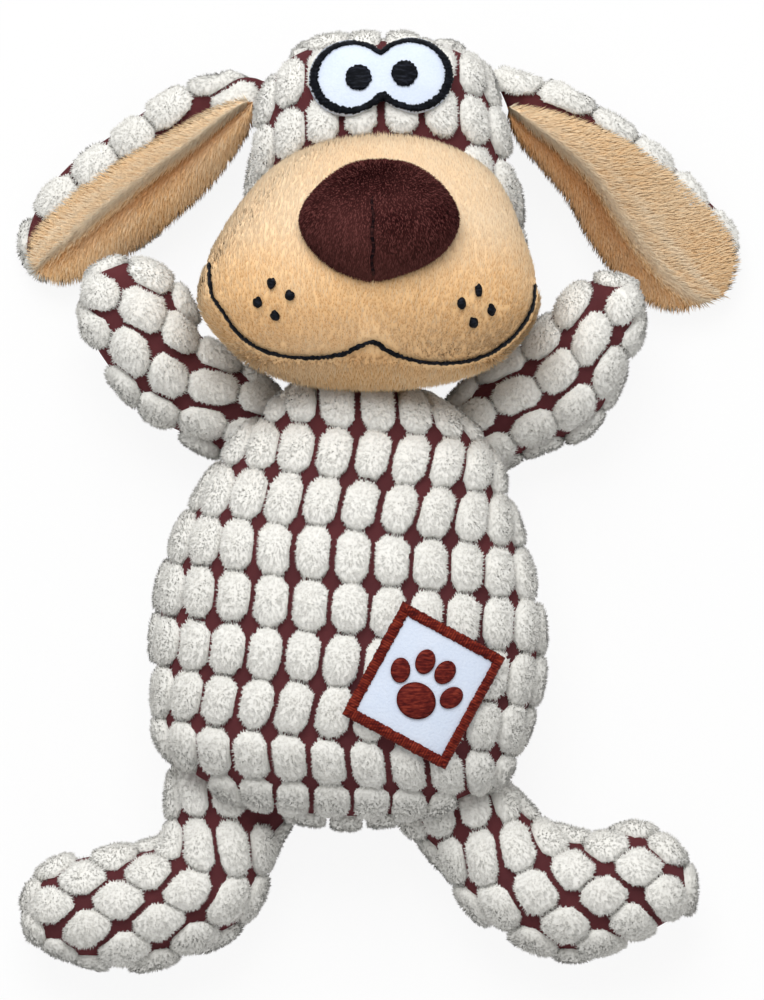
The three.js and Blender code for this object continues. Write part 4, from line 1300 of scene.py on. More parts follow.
class Press:
    """Keeps points of the toy's front under a layer that is sewn on there."""

    front_from = 20.0  # the height from which a point is on the toy's front
    level = 1e-9  # what stands for the rise of an edge that has none

    def __init__(self, surface: Surface, outline: Sequence[Flat], height: float) -> None:
        """Places the layer.

        Args:
            surface: What the layer lies on.
            outline: The layer's outline in millimetres.
            height: How far over the surface points may stand under it.
        """
        self.surface = surface
        self.ring = np.array(outline)
        self.height = height

    def covers(self, points: Array) -> Array:
        """Which points are under the layer."""
        ring, following = self.ring, np.roll(self.ring, -1, axis=0)
        x, y = points[:, 0][:, None], points[:, 1][:, None]
        crosses = (ring[:, 1] > y) != (following[:, 1] > y)
        rise = np.where(following[:, 1] == ring[:, 1], self.level, following[:, 1] - ring[:, 1])
        meets = (following[:, 0] - ring[:, 0]) * (y - ring[:, 1]) / rise + ring[:, 0]
        return ((crosses & (x < meets)).sum(1) % 2 == 1) & (points[:, 2] > self.front_from)

    def __call__(self, points: Array) -> Array:
        """Gives points back pressed down."""
        for index in np.nonzero(self.covers(points))[0]:
            top = self.surface.height(points[index, 0], points[index, 1]) + self.height
            points[index, 2] = min(points[index, 2], top)
        return points


def uneven_oval(width: float, height: float, reach: Array) -> Outline:
    """An oval with an uneven edge.

    Args:
        width: How wide it is.
        height: How tall it is.
        reach: How far out its edge is, as shares of the even oval's, in even steps round it.

    Returns:
        Its outline from its middle.
    """
    stops = np.linspace(0, 2 * math.pi, len(reach) + 1)
    closed = np.append(reach, reach[0])

    def outline(angle: float) -> Flat:
        wander = np.interp(angle % (2 * math.pi), stops, closed)
        return math.cos(angle) * width / 2 * wander, math.sin(angle) * height / 2 * wander

    return outline


# The toy's shapes
BODY_ROWS = (
    (0, 0.01, 0, 0.01, 0, 0), (0.014, -0.056, 0.014, 0.083, 0.28, 0), (0.05, -0.107, 0.05, 0.135, 0.45, 0),
    (0.1, -0.134, 0.1, 0.163, 0.57, 0), (0.15, -0.21, 0.15, 0.26, 0.66, 0),
    (0.21, -0.29, 0.21, 0.35, 0.76, 0), (0.27, -0.345, 0.27, 0.39, 0.84, 0),
    (0.33, -0.39, 0.33, 0.41, 0.9, 0), (0.42, -0.45, 0.42, 0.445, 0.96, 0),
    (0.54, -0.488, 0.54, 0.49, 1, 0), (0.64, -0.5, 0.64, 0.5, 1, 0), (0.74, -0.5, 0.74, 0.485, 0.98, 0),
    (0.83, -0.488, 0.83, 0.45, 0.92, 0), (0.91, -0.4, 0.91, 0.4, 0.76, 0),
    (0.96, -0.27, 0.96, 0.29, 0.54, 0), (0.99, -0.14, 0.99, 0.15, 0.28, 0), (1, 0, 1, 0, 0, 0),
)
HEAD_ROWS = (
    (0, 0, 0, 0, 0, 0), (0.01, -0.21, 0.01, 0.2, 0.32, 0), (0.035, -0.315, 0.035, 0.3, 0.52, 0),
    (0.08, -0.385, 0.08, 0.37, 0.7, 0), (0.17, -0.425, 0.17, 0.405, 0.86, 0),
    (0.28, -0.46, 0.28, 0.445, 0.95, 0), (0.4, -0.465, 0.4, 0.47, 1, 0), (0.53, -0.49, 0.53, 0.49, 1, 0),
    (0.66, -0.5, 0.66, 0.5, 0.98, 0), (0.79, -0.47, 0.79, 0.455, 0.92, 0), (0.9, -0.39, 0.9, 0.37, 0.78, 0),
    (0.96, -0.28, 0.96, 0.23, 0.56, 0), (0.99, -0.17, 0.99, 0.1, 0.3, 0), (1, -0.04, 1, -0.04, 0, 0),
)
MUZZLE_ROWS = (
    (0, 0.04, 0, 0.04, 0, -0.2), (0.027, -0.11, 0.027, 0.18, 0.3, -0.1),
    (0.075, -0.215, 0.075, 0.28, 0.5, 0), (0.15, -0.3, 0.15, 0.36, 0.7, 0.2),
    (0.24, -0.36, 0.24, 0.405, 0.84, 0.5), (0.395, -0.437, 0.395, 0.45, 0.97, 0.9),
    (0.55, -0.49, 0.55, 0.487, 1, 1), (0.67, -0.5, 0.67, 0.5, 0.96, 0.9),
    (0.78, -0.455, 0.78, 0.467, 0.86, 0.7), (0.89, -0.365, 0.89, 0.38, 0.68, 0.5),
    (0.957, -0.26, 0.957, 0.27, 0.48, 0.4), (0.988, -0.14, 0.988, 0.15, 0.28, 0.3), (1, 0, 1, 0, 0, 0.3),
)
NOSE_ROWS = (
    (0, 0.01, 0, 0.01, 0, 0), (0.033, -0.17, 0.033, 0.18, 0.36, 0), (0.106, -0.28, 0.106, 0.3, 0.6, 0),
    (0.228, -0.39, 0.228, 0.405, 0.84, 0), (0.366, -0.47, 0.366, 0.475, 0.97, 0),
    (0.488, -0.5, 0.488, 0.5, 1, 0), (0.618, -0.48, 0.618, 0.476, 0.97, 0),
    (0.756, -0.41, 0.756, 0.403, 0.85, 0), (0.878, -0.31, 0.878, 0.27, 0.64, 0),
    (0.967, -0.17, 0.967, 0.09, 0.36, 0), (1.01, -0.05, 1.01, -0.05, 0, 0),
)
LEFT_EAR_ROWS = (
    (-0.06, -0.05, -0.06, -0.05, 0, 1), (-0.03, -0.2, -0.01, 0.06, 0.6, 1),
    (0.08, -0.38, 0.08, 0.17, 0.85, 0.95), (0.23, -0.53, 0.16, 0.27, 0.95, 0.84),
    (0.38, -0.57, 0.32, 0.38, 1, 0.66), (0.52, -0.58, 0.5, 0.42, 1, 0.44), (0.7, -0.6, 0.7, 0.43, 1, 0.2),
    (0.84, -0.52, 0.84, 0.41, 0.95, 0.06), (0.95, -0.38, 0.95, 0.31, 0.85, 0),
    (1.02, -0.2, 1.01, 0.17, 0.6, 0), (1.04, 0, 1.04, 0, 0, 0),
)
LEFT_EAR_INNER_ROWS = (
    (0.03, 0, 0.03, 0, 0, 1), (0.07, -0.08, 0.06, 0.12, 0.5, 0.98), (0.15, -0.15, 0.12, 0.22, 0.8, 0.9),
    (0.26, -0.2, 0.22, 0.31, 0.95, 0.78), (0.4, -0.25, 0.34, 0.39, 1, 0.62),
    (0.54, -0.3, 0.52, 0.43, 1, 0.42), (0.72, -0.32, 0.71, 0.43, 1, 0.18),
    (0.86, -0.29, 0.85, 0.4, 0.95, 0.05), (0.96, -0.22, 0.95, 0.3, 0.8, 0),
    (1.01, -0.1, 1.01, 0.17, 0.5, 0), (1.03, 0.03, 1.03, 0.03, 0, 0),
)
RIGHT_EAR_ROWS = (
    (-0.09, 0.02, -0.09, 0.02, 0, 1), (-0.04, 0.13, -0.02, -0.03, 0.6, 1),
    (0.03, 0.2, 0.04, -0.1, 0.8, 0.98), (0.14, 0.34, 0.12, -0.22, 0.92, 0.9),
    (0.28, 0.4, 0.24, -0.26, 1, 0.76), (0.42, 0.46, 0.38, -0.32, 1, 0.56),
    (0.56, 0.49, 0.52, -0.45, 1, 0.34), (0.7, 0.47, 0.66, -0.53, 1, 0.15),
    (0.84, 0.42, 0.8, -0.54, 0.9, 0.03), (0.93, 0.23, 0.9, -0.36, 0.65, 0),
    (0.97, -0.05, 0.97, -0.05, 0, 0),
)
RIGHT_EAR_INNER_ROWS = (
    (0.05, -0.08, 0.05, -0.08, 0, 0.98), (0.1, 0.02, 0.08, -0.16, 0.5, 0.94),
    (0.17, 0.13, 0.14, -0.23, 0.8, 0.88), (0.29, 0.26, 0.25, -0.27, 0.95, 0.75),
    (0.43, 0.36, 0.39, -0.33, 1, 0.55), (0.57, 0.39, 0.52, -0.45, 1, 0.34),
    (0.7, 0.38, 0.66, -0.53, 1, 0.15), (0.83, 0.34, 0.79, -0.53, 0.9, 0.03),
    (0.93, 0.19, 0.9, -0.37, 0.65, 0), (0.97, -0.07, 0.97, -0.07, 0, 0),
)
LEFT_ARM_ROWS = (
    (-0.45, 0.1, -0.45, 0.1, 0, 0), (-0.38, -0.16, -0.36, 0.3, 0.7, 0),
    (-0.15, -0.25, -0.12, 0.43, 0.95, 0), (0.1, -0.24, 0.08, 0.48, 1, 0.05),
    (0.34, -0.24, 0.26, 0.53, 1, 0.4), (0.52, -0.33, 0.44, 0.5, 0.96, 0.85),
    (0.68, -0.41, 0.62, 0.45, 0.92, 1), (0.83, -0.38, 0.78, 0.38, 0.88, 1),
    (0.94, -0.28, 0.91, 0.26, 0.72, 1), (1, -0.14, 0.99, 0.11, 0.45, 1), (1.02, -0.02, 1.02, -0.02, 0, 1),
)
RIGHT_ARM_ROWS = (
    (-0.45, -0.1, -0.45, -0.1, 0, 0), (-0.38, 0.16, -0.36, -0.3, 0.7, 0),
    (-0.15, 0.28, -0.14, -0.4, 0.95, 0), (0.1, 0.3, 0.05, -0.46, 1, 0.05), (0.33, 0.3, 0.24, -0.55, 1, 0.4),
    (0.5, 0.32, 0.44, -0.5, 0.96, 0.85), (0.67, 0.38, 0.61, -0.39, 0.92, 1),
    (0.82, 0.34, 0.77, -0.28, 0.86, 1), (0.92, 0.22, 0.88, -0.14, 0.66, 1),
    (0.96, 0.13, 0.94, -0.02, 0.4, 1), (0.98, 0.06, 0.98, 0.06, 0, 1),
)
LEFT_LEG_ROWS = (
    (-0.35, 0, -0.35, 0, 0, 0), (-0.24, -0.36, -0.28, 0.34, 0.7, 0), (0, -0.46, -0.12, 0.42, 0.9, 0),
    (0.13, -0.43, 0, 0.44, 0.94, 0), (0.28, -0.27, 0.16, 0.54, 0.97, 0), (0.41, -0.18, 0.3, 0.63, 1, 0),
    (0.5, -0.24, 0.45, 0.66, 1, 0), (0.62, -0.37, 0.62, 0.6, 1, 0), (0.76, -0.51, 0.8, 0.49, 0.97, 0),
    (0.9, -0.6, 0.95, 0.35, 0.9, 0), (1.03, -0.58, 1.07, 0.14, 0.78, 0), (1.13, -0.48, 1.14, -0.09, 0.5, 0),
    (1.18, -0.3, 1.18, -0.3, 0, 0),
)
RIGHT_LEG_ROWS = (
    (-0.35, -0.05, -0.35, -0.05, 0, 0), (-0.25, 0.28, -0.3, -0.34, 0.7, 0),
    (-0.08, 0.32, -0.12, -0.42, 0.9, 0), (0.1, 0.26, 0.02, -0.5, 0.94, 0), (0.24, 0.2, 0.16, -0.6, 0.97, 0),
    (0.38, 0.19, 0.32, -0.67, 1, 0), (0.5, 0.22, 0.48, -0.66, 1, 0), (0.61, 0.32, 0.64, -0.63, 1, 0),
    (0.74, 0.47, 0.78, -0.56, 0.97, 0), (0.88, 0.49, 0.9, -0.4, 0.9, 0), (1, 0.43, 1.02, -0.22, 0.78, 0),
    (1.09, 0.29, 1.1, -0.04, 0.5, 0), (1.13, 0.14, 1.13, 0.14, 0, 0),
)
EYE_SHARES = (
    (0, 0.34), (0.08, 0.44), (0.22, 0.5), (0.38, 0.4), (0.48, 0.16), (0.49, -0.12), (0.4, -0.38),
    (0.24, -0.49), (0.12, -0.43), (0.045, -0.35), (0, -0.29),
)
MOUTH_SHARES = (
    (-0.462, 0.5), (-0.452, 0.63), (-0.425, 0.69), (-0.37, 0.79), (-0.3, 0.848), (-0.2, 0.874),
    (-0.08, 0.862), (0.012, 0.815), (0.06, 0.855), (0.16, 0.892), (0.27, 0.89), (0.36, 0.85), (0.43, 0.77),
    (0.47, 0.68), (0.482, 0.58),
)
DOT_SHARES = (
    (-0.28, 0.59), (-0.228, 0.636), (-0.32, 0.663), (-0.27, 0.713), (0.315, 0.616), (0.266, 0.667),
    (0.352, 0.69), (0.3, 0.74),
)
TOE_SHARES = (
    (-0.24, 0.02, 24), (-0.09, 0.17, 8), (0.1, 0.17, -8), (0.25, 0.02, -24),
)

BODY = Form(x=0, y=75.6, turn=-90, length=139.4, width=111, depth=62, lift=30.5, rise=0, rows=BODY_ROWS)
HEAD = Form(x=9.4, y=157.3, turn=-90, length=94.3, width=80.3, depth=54, lift=26.5, rise=0, rows=HEAD_ROWS)
MUZZLE = Form(x=5.8, y=128.4, turn=-90, length=71, width=95, depth=52, lift=50, rise=6, rows=MUZZLE_ROWS)
NOSE_FORM = Form(x=8.6, y=120.5, turn=-90, length=33.8, width=44, depth=26, lift=80, rise=0, rows=NOSE_ROWS)
LEFT_EAR = Form(
    x=-23.7, y=139.7, turn=217, length=78, width=30, depth=10, lift=4.5, rise=15, rows=LEFT_EAR_ROWS,
)
RIGHT_EAR = Form(
    x=41.8, y=141.6, turn=-41, length=88, width=34, depth=10, lift=4.5, rise=15, rows=RIGHT_EAR_ROWS,
)
LEFT_ARM = Form(
    x=-30.8, y=55.6, turn=141, length=54, width=40, depth=28, lift=13.5, rise=11.5, rows=LEFT_ARM_ROWS,
)
RIGHT_ARM = Form(
    x=41.8, y=53.6, turn=38, length=54, width=40, depth=28, lift=13.5, rise=11.5, rows=RIGHT_ARM_ROWS,
)
LEFT_LEG = Form(
    x=-30.2, y=-52.9, turn=226, length=60, width=42, depth=34, lift=16.5, rise=0, rows=LEFT_LEG_ROWS,
)
RIGHT_LEG = Form(
    x=34.4, y=-57.0, turn=-30, length=60, width=42, depth=34, lift=16.5, rise=0, rows=RIGHT_LEG_ROWS,
)

GROUND_DEPTH = -3.1  # of the woven cloth under the tufts' tops
LIMB_GROUND = -2.6
TUFT_PILE = Pile(density=2.8, length=1.2, base=0.2, scatter=0.4, contrast=0.5)
MUZZLE_PILE = Pile(
    density=3.1, length=2.2, base=0.16, scatter=0.2, seed=7, contrast=0.6, ground_tone=1.0,
)
EAR_PILE = Pile(
    density=4.0, length=3.0, base=0.2, scatter=0.28, seed=11, contrast=0.65, ground_tone=1.0,
)
SUNK = 0.1  # how far stitches sink into what they lie on
NOSE_PILE = Pile(density=8.0, length=1.2, base=0.18, scatter=0.4, seed=13, ground_tone=0.1)


@dataclass
class Tufted:
    """A stuffed form in tufted cloth: a woven cover with tufts on its front and its back."""

    name: str
    form: Form
    front: Tufts
    back: Tufts
    ground: float = GROUND_DEPTH
    fill: float = 0.85
    hidden: Reading = none_of  # where tufts are left out
    press: Union[Reading, None] = None  # what moves points under a layer
    bare: Reading = none_of  # where tufts carry no fibres
    end_reach: float = 0.0  # how far tufts go over its far end to each side
    end_seed: int = 20  # what the seed of the tufts there is higher by
    skin_sides: int = 72
    skin_rings: int = 60

    def cover(self) -> Piece:
        """The woven cover, which the tufts stand on."""
        bm = shell(self.form, self.ground, self.skin_sides, self.skin_rings)
        if self.press:
            spots = self.press(np.array([vert.co[:] for vert in bm.verts]) / MM)
            for vert, spot in zip(bm.verts, spots):
                vert.co.z = min(vert.co.z, spot[2] * MM)
        piece = piece_of(f"{self.name}_cover", bm, GROUND)
        return piece

    def tufts(
        self,
        name: str,
        sides: Sequence[Side],
        pile: Pile = TUFT_PILE,
        left_out: Union[Reading, None] = None,
    ) -> Piece:
        """The tufts of one panel or of both.

        Args:
            name: The piece's name.
            sides: Which panels.
            pile: The fibres on them.
            left_out: Which middles belong to another piece.

        Returns:
            The piece.
        """
        dropped = either(self.hidden, left_out) if left_out else self.hidden
        bm = bmesh.new()
        for side in sides:
            rows = self.front if side is Side.FRONT else self.back
            rows.weave(bm, Cloth(self.form, side, self.ground), dropped, self.press)
        if self.end_reach and Side.FRONT in sides:
            seed = self.front.seed + self.end_seed
            rows = replace(self.front, turn=0.0, bow=0.0, bend=0.0, seed=seed)
            rows.weave(bm, EndCloth(self.form, self.ground, self.end_reach), dropped, self.press)
        bmesh.ops.remove_doubles(bm, verts=bm.verts, dist=DOUBLE * MM)
        piece = piece_of(name, face_out(bm), TUFT)
        dress(piece, pile, covered=self.bare)
        return piece


@dataclass
class Torso(Tufted):
    """The pear of the body, with its filling and squeaker inside."""

    waist: float = 2.0  # the height on the toy where its tufts are parted into two pieces

    def past_waist(self, lower: bool) -> Reading:
        """A test for tufts over the waist, or with lower False for those under it."""
        return lambda points: (points[:, 1] > self.waist) == lower

    def build(self) -> None:
        """Makes the cover and the tufts, and dresses what is inside."""
        settle(self.cover(), "torso", "body_front_panel", "body_back_panel")
        for side, panel in ((Side.FRONT, "front"), (Side.BACK, "back")):
            for half, lower in (("upper", False), ("lower", True)):
                name = f"body_{panel}_tufts_{half}"
                settle(self.tufts(name, [side], TUFT_PILE, self.past_waist(lower)), "torso")
        for node, finish in (
            ("filling_front", FILLING),
            ("filling_back", FILLING),
            ("squeaker_bulb", PLASTIC),
            ("squeaker_reed", PLASTIC),
        ):
            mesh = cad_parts[node].data
            mesh.materials.clear()
            mesh.materials.append(finish.material())


@dataclass
class BellyPatch:
    """The felt patch on the belly, with its satin border and its paw."""

    ground: Surface
    centre: Flat = (20.9, -23.4)
    size: Flat = (32.4, 35.2)
    turn: float = -28.6
    thickness: float = 1.2
    border: float = 3.1
    thread: float = 1.0
    gap: float = 0.3
    pad: Flat = (11, 10)
    pad_drop: float = 0.13  # how far below the middle the pad is, as a share of the patch's height
    toe: Flat = (5.4, 7)
    felt_inset: float = 0.4  # how far the felt stays inside the border's outer edge
    squareness: float = 24.0  # the power that makes the felt's corners sharp
    border_steps: int = 60  # to a side

    def spot(self, across: float, up: float) -> Flat:
        """Where a point of the patch is on the toy."""
        turn = math.radians(self.turn)
        return (
            self.centre[0] + across * math.cos(turn) - up * math.sin(turn),
            self.centre[1] + across * math.sin(turn) + up * math.cos(turn),
        )

    def square(self, inset: float = 0.0) -> list[Flat]:
        """The patch's corners on the toy, drawn in by an inset."""
        across, up = self.size[0] / 2 - inset, self.size[1] / 2 - inset
        return [self.spot(x, y) for x, y in ((-across, -up), (across, -up), (across, up), (-across, up))]

    def edge(self, angle: float) -> Flat:
        """The patch's outline from its middle, with slightly rounded corners."""
        across, up = self.size[0] / 2 - self.felt_inset, self.size[1] / 2 - self.felt_inset
        cos, sin = math.cos(angle), math.sin(angle)
        power = self.squareness
        reach = (abs(cos / across) ** power + abs(sin / up) ** power) ** (-1 / power)
        x, y = self.spot(reach * cos, reach * sin)
        return x - self.centre[0], y - self.centre[1]

    def oval(self, centre: Flat, size: Flat, turn: float) -> tuple[Flat, Outline]:
        """An oval on the patch.

        Args:
            centre: Its middle from the patch's, across and up.
            size: How wide and how tall it is.
            turn: Its turn in degrees, anticlockwise.

        Returns:
            Its middle on the toy, and its outline from there.
        """
        lean = math.radians(self.turn + turn)

        def outline(angle: float) -> Flat:
            x, y = math.cos(angle) * size[0] / 2, math.sin(angle) * size[1] / 2
            return x * math.cos(lean) - y * math.sin(lean), x * math.sin(lean) + y * math.cos(lean)

        return self.spot(*centre), outline

    def build(self) -> None:
        """Makes the patch, its border and the paw."""
        over, top = self.ground.height, self.gap + self.thickness
        low, high = top - SUNK, top + self.gap + self.thread
        bm = patch_on(over, self.centre, self.edge, 0.0, top, steps=96, rings=24, crown=0.05)
        settle(piece_of("belly_patch_felt", bm, FELT), "torso", "belly_patch")
        corners, steps = np.array(self.square(self.border / 2)), self.border_steps
        sides = [np.linspace(corners[k], corners[(k + 1) % 4], steps, endpoint=False) for k in range(4)]
        bm = band_on(
            over, np.vstack(sides), self.border, low, high, True,
            stitch=0.7, ragged=0.12, seed=3, corners=range(0, 4 * steps, steps),
        )
        settle(piece_of("patch_border_stitching", bm, RUST), "torso", "patch_border")
        shapes = [("paw_pad", (0.0, -self.pad_drop * self.size[1]), self.pad, 0.0)]
        for index, (across, up, turn) in enumerate(TOE_SHARES):
            centre = (across * self.size[0], up * self.size[1])
            shapes.append((f"paw_toe_{index + 1}", centre, self.toe, turn))
        for node, centre, size, turn in shapes:
            bm = patch_on(over, *self.oval(centre, size, turn), low, high, steps=40, rings=12, crown=0.6)
            settle(piece_of(f"{node}_stitching", bm, SHADED_PAW_RUST), "torso", node)


@dataclass
class Skull(Tufted):
    """The head in tufted cloth."""

    def build(self) -> None:
        """Makes the cover and the tufts."""
        settle(self.cover(), "head", "head")
        settle(self.tufts("head_front_tufts", [Side.FRONT]), "head")
        settle(self.tufts("head_back_tufts", [Side.BACK]), "head")


@dataclass
class Eyes:
    """The felt figure of eight with its stitched edge, and the pupils."""

    ground: Surface
    centre: Flat = (9.2, 144.0)
    size: Flat = (39.6, 21.4)
    thickness: float = 1.0
    edge_width: float = 2.4
    thread: float = 1.0
    gap: float = 0.3
    tilt: float = 2.5
    pupil: Flat = (7.2, 7.2)
    spread: float = 12.6
    rise: float = 0.6
    rim: Flat = (-0.25, -0.4)  # how far the felt is shifted from under its stitching
    grown: float = 0.1  # how far it is larger than the stitching's outline
    line_share: float = 0.45  # how far in the stitching's middle is, as a share of its width
    narrowest: float = 0.78  # the stitching's width between the eyes, as a share
    wider_outward: float = 0.4
    wider_at_notch: float = 0.3
    notch: float = 2.4
    uneven: Flat = (0.93, 1.07)  # the reach of a pupil's edge, as shares
    pupil_steps: int = 64

    def outline(self, inset: float = 0.0, steps: int = 240) -> Array:
        """The patch's outline on the toy, drawn in by an inset.

        Args:
            inset: How far in, in millimetres.
            steps: How many points there are.

        Returns:
            The points, anticlockwise from the right.
        """
        half = np.array(EYE_SHARES)
        mirrored = half[1:-1][::-1] * [-1, 1]
        ring = np.vstack([half, mirrored]) * [self.size[0] - 2 * inset, self.size[1] - 2 * inset]
        loop = np.vstack([ring[-3:], ring, ring[:4]])
        count = len(ring)
        shares = (3 + np.linspace(0, count, steps, endpoint=False)) / (len(loop) - 1)
        points = through(loop, shares)
        tilt = math.radians(self.tilt)
        points = points @ np.array([[math.cos(tilt), math.sin(tilt)], [-math.sin(tilt), math.cos(tilt)]])
        angles = np.arctan2(points[:, 1], points[:, 0])
        return points[np.argsort(angles)] + self.centre

    def felt_edge(self) -> Outline:
        """The felt's outline from the patch's middle."""
        ring = self.outline(-self.grown) - self.centre + self.rim
        ring = ring[np.argsort(np.arctan2(ring[:, 1], ring[:, 0]))]
        angles = np.arctan2(ring[:, 1], ring[:, 0])

        def edge(angle: float) -> Flat:
            place = np.interp(angle, angles, np.arange(len(ring)))
            low = int(place) % len(ring)
            part = place - int(place)
            spot = ring[low] * (1 - part) + ring[(low + 1) % len(ring)] * part
            return float(spot[0]), float(spot[1])

        return edge

    def widths(self, places: Array) -> Array:
        """How wide the stitching is at some places, as shares of its width."""
        away = places - self.centre
        notch = hump(away[:, 0], 0.0, self.notch) * (away[:, 1] < 0)
        outward = (2 * away[:, 0] / self.size[0]) ** 2
        return self.narrowest + self.wider_outward * outward + self.wider_at_notch * notch

    def build(self) -> None:
        """Makes the patch, its edge and the pupils."""
        over, top = self.ground.height, self.gap + self.thickness
        low, high = top - SUNK, top + self.gap + self.thread
        bm = patch_on(over, self.centre, self.felt_edge(), 0.0, top, steps=120, rings=24, crown=0.06)
        settle(piece_of("eye_patch_felt", bm, FELT), "head", "eye_patch")
        line = self.outline(self.edge_width * self.line_share)
        bm = band_on(
            over, line, self.edge_width, low, high, True, stitch=0.56, ragged=0.24, seed=5, wide=self.widths,
        )
        settle(piece_of("eye_edge_stitching", bm, BLACK), "head", "eye_outline")
        for node, side in (("pupil_left", -1), ("pupil_right", 1)):
            middle = (self.centre[0] + side * self.spread / 2, self.centre[1] + side * self.rise)
            draw = np.random.default_rng(20 + side)
            oval = uneven_oval(*self.pupil, draw.uniform(*self.uneven, self.pupil_steps))
            bm = patch_on(over, middle, oval, low, high, steps=96, rings=14, crown=0.7)
            settle(piece_of(f"{node}_stitching", bm, BLACK), "head", node)


@dataclass
class Snout:
    """The plush muzzle with its mouth line and whisker dots, and the nose."""

    muzzle: Form
    nose: Form
    drawn_in: float = -1.1  # the muzzle's cloth under its pile
    nose_drawn_in: float = -0.6
    thread_width: float = 1.55
    thread: float = 1.3
    low: float = 0.1  # how far over the cloth the stitches start
    high: float = 0.9  # how deep they lie in the pile
    dot: float = 2.9
    dot_steps: int = 12
    dot_uneven: Flat = (0.8, 1.1)  # the reach of a dot's edge, as shares
    dot_tall: Flat = (0.95, 1.25)  # how tall a dot is, as shares
    room: Flat = (1.0, 1.7)  # how far the pile stays away from the line's and the dots' middles
    front_from: float = 40.0  # the height from which the muzzle's cloth is in front
    pile_rise: float = 0.1  # how far the pile stands up from lying towards the head's top
    turn_places: Flat = (62, 69)  # between which Ys the pile turns from lying down to lying up
    turn_leans: Flat = (-2.2, 2.4)
    # Painted light by height: a painted highlight over the muzzle's top and a trace of painted shade lower
    # down
    shade_places: tuple[float, ...] = (60, 76, 90, 104)
    shades: tuple[float, ...] = (0.0, 0.06, -0.06, -0.55)
    fill: float = 0.9
    seam_width: float = 1.0
    seam_share: float = 0.68  # of the nose's length
    seam_aside: float = -1.8
    seam_low: float = 1.0  # how far over the nose's lower end the seam ends
    seam_sway: Flat = (0.25, 0.8)  # how far and how fast it sways
    seam_depth: Flat = (-0.9, 0.3)  # its underside and its top over the nose's cloth
    seam_room: float = 0.5
    groove: float = 1.1  # half the width of the groove that the seam draws in
    groove_depth: float = 0.9
    groove_fade: float = 4.0  # over what length it ends
    nose_front: float = 78.0  # the height from which the nose's cloth is in front
    # Painted light by height: a painted highlight on the nose's lower part, where shade falls
    nose_shade_places: tuple[float, ...] = (80, 92, 104)
    nose_shades: tuple[float, ...] = (-0.85, -0.25, 0.0)

    def on_muzzle(self, across: float, down: float) -> Flat:
        """Where a share across the muzzle and down from its top is on the toy."""
        return self.muzzle.x + across * self.muzzle.width, self.muzzle.y - down * self.muzzle.length

    def build(self) -> None:
        """Makes the muzzle, the nose and their stitching."""
        ground = Surface(self.muzzle, self.drawn_in)
        line = np.array([self.on_muzzle(*share) for share in MOUTH_SHARES])
        line = through(line, np.linspace(0, 1, 300))
        dots = np.array([self.on_muzzle(*share) for share in DOT_SHARES])

        def stitched(points: Array) -> Array:
            marks = np.vstack([line, dots])
            room = np.repeat(self.room, (len(line), len(dots)))
            away = np.hypot(points[:, 0][:, None] - marks[:, 0], points[:, 1][:, None] - marks[:, 1])
            return ((away < room).any(1)) & (points[:, 2] > self.front_from)

        def upward(points: Array, normals: Array) -> Array:
            rise = np.array([0.0, 1.0, self.pile_rise])
            along = rise - normals * (normals @ rise)[:, None]
            return along * np.interp(points[:, 1], self.turn_places, self.turn_leans)[:, None]

        # Painted highlight over the top and a trace of painted shade lower down
        def lower(points: Array) -> Array:
            return np.interp(points[:, 1], self.shade_places, self.shades)

        piece = piece_of("muzzle_plush", shell(self.muzzle, self.drawn_in, 110, 80), TAN)
        dress(piece, MUZZLE_PILE, covered=stitched, lean=upward, shade=lower)
        settle(piece, "head", "muzzle")
        low, high = self.low, self.high + self.thread
        bm = band_on(
            ground.height, line, self.thread_width, low, high, False, stitch=1.1, ragged=0.4, seed=9,
        )
        settle(piece_of("mouth_line_stitching", bm, BLACK), "head", "mouth_stitching")
        for index, middle in enumerate(dots):
            draw = np.random.default_rng(40 + index)
            reach = draw.uniform(*self.dot_uneven, self.dot_steps)
            tall = draw.uniform(*self.dot_tall)
            oval = uneven_oval(self.dot / tall, self.dot * tall, reach)
            bm = patch_on(ground.height, tuple(middle), oval, low, high, steps=24, rings=10, crown=0.7)
            name = f"whisker_dot_{index + 1}"
            settle(piece_of(f"{name}_stitching", bm, BLACK), "head", name)
        self.build_nose()

    def build_nose(self) -> None:
        """Makes the nose and the seam down its middle."""
        ground = Surface(self.nose, self.nose_drawn_in)
        middle = self.nose.x + self.seam_aside
        half = self.nose.length * self.seam_share / 2
        centre = self.nose.y - self.nose.length + half + self.seam_low

        def seamed(points: Array) -> Array:
            beside, along = np.abs(points[:, 0] - middle), np.abs(points[:, 1] - centre)
            return (beside < self.seam_room) & (along < half) & (points[:, 2] > self.nose_front)

        def downward(_: Array, normals: Array) -> Array:
            fall = np.array([0.0, -1.0, 0.0])
            return fall - normals * (normals @ fall)[:, None]

        # Painted highlight on the nose's lower part, where shade falls
        def lit(points: Array) -> Array:
            return np.interp(points[:, 1], self.nose_shade_places, self.nose_shades)

        bm = shell(self.nose, self.nose_drawn_in, 96, 64)
        for vert in bm.verts:
            x, y, z = vert.co / MM
            inside = half + self.groove_fade / 2 - abs(y - centre)
            pull = math.exp(-(((x - middle) / self.groove) ** 2))
            pull *= min(1.0, max(0.0, inside / self.groove_fade))
            if z > self.nose_front:
                vert.co.z -= self.groove_depth * MM * pull
        piece = piece_of("nose_plush", face_out(bm), NOSE)
        dress(piece, NOSE_PILE, covered=seamed, lean=downward, shade=lit)
        settle(piece, "head", "nose")
        ys = np.linspace(centre + half, centre - half, 80)
        sway, pace = self.seam_sway
        line = np.column_stack([middle + sway * np.sin(ys * pace), ys])
        bm = band_on(
            ground.height, line, self.seam_width, *self.seam_depth, False, stitch=1.6, ragged=0.3, seed=17,
        )
        settle(piece_of("nose_seam_stitching", bm, NOSE_THREAD), "head", "nose_seam")


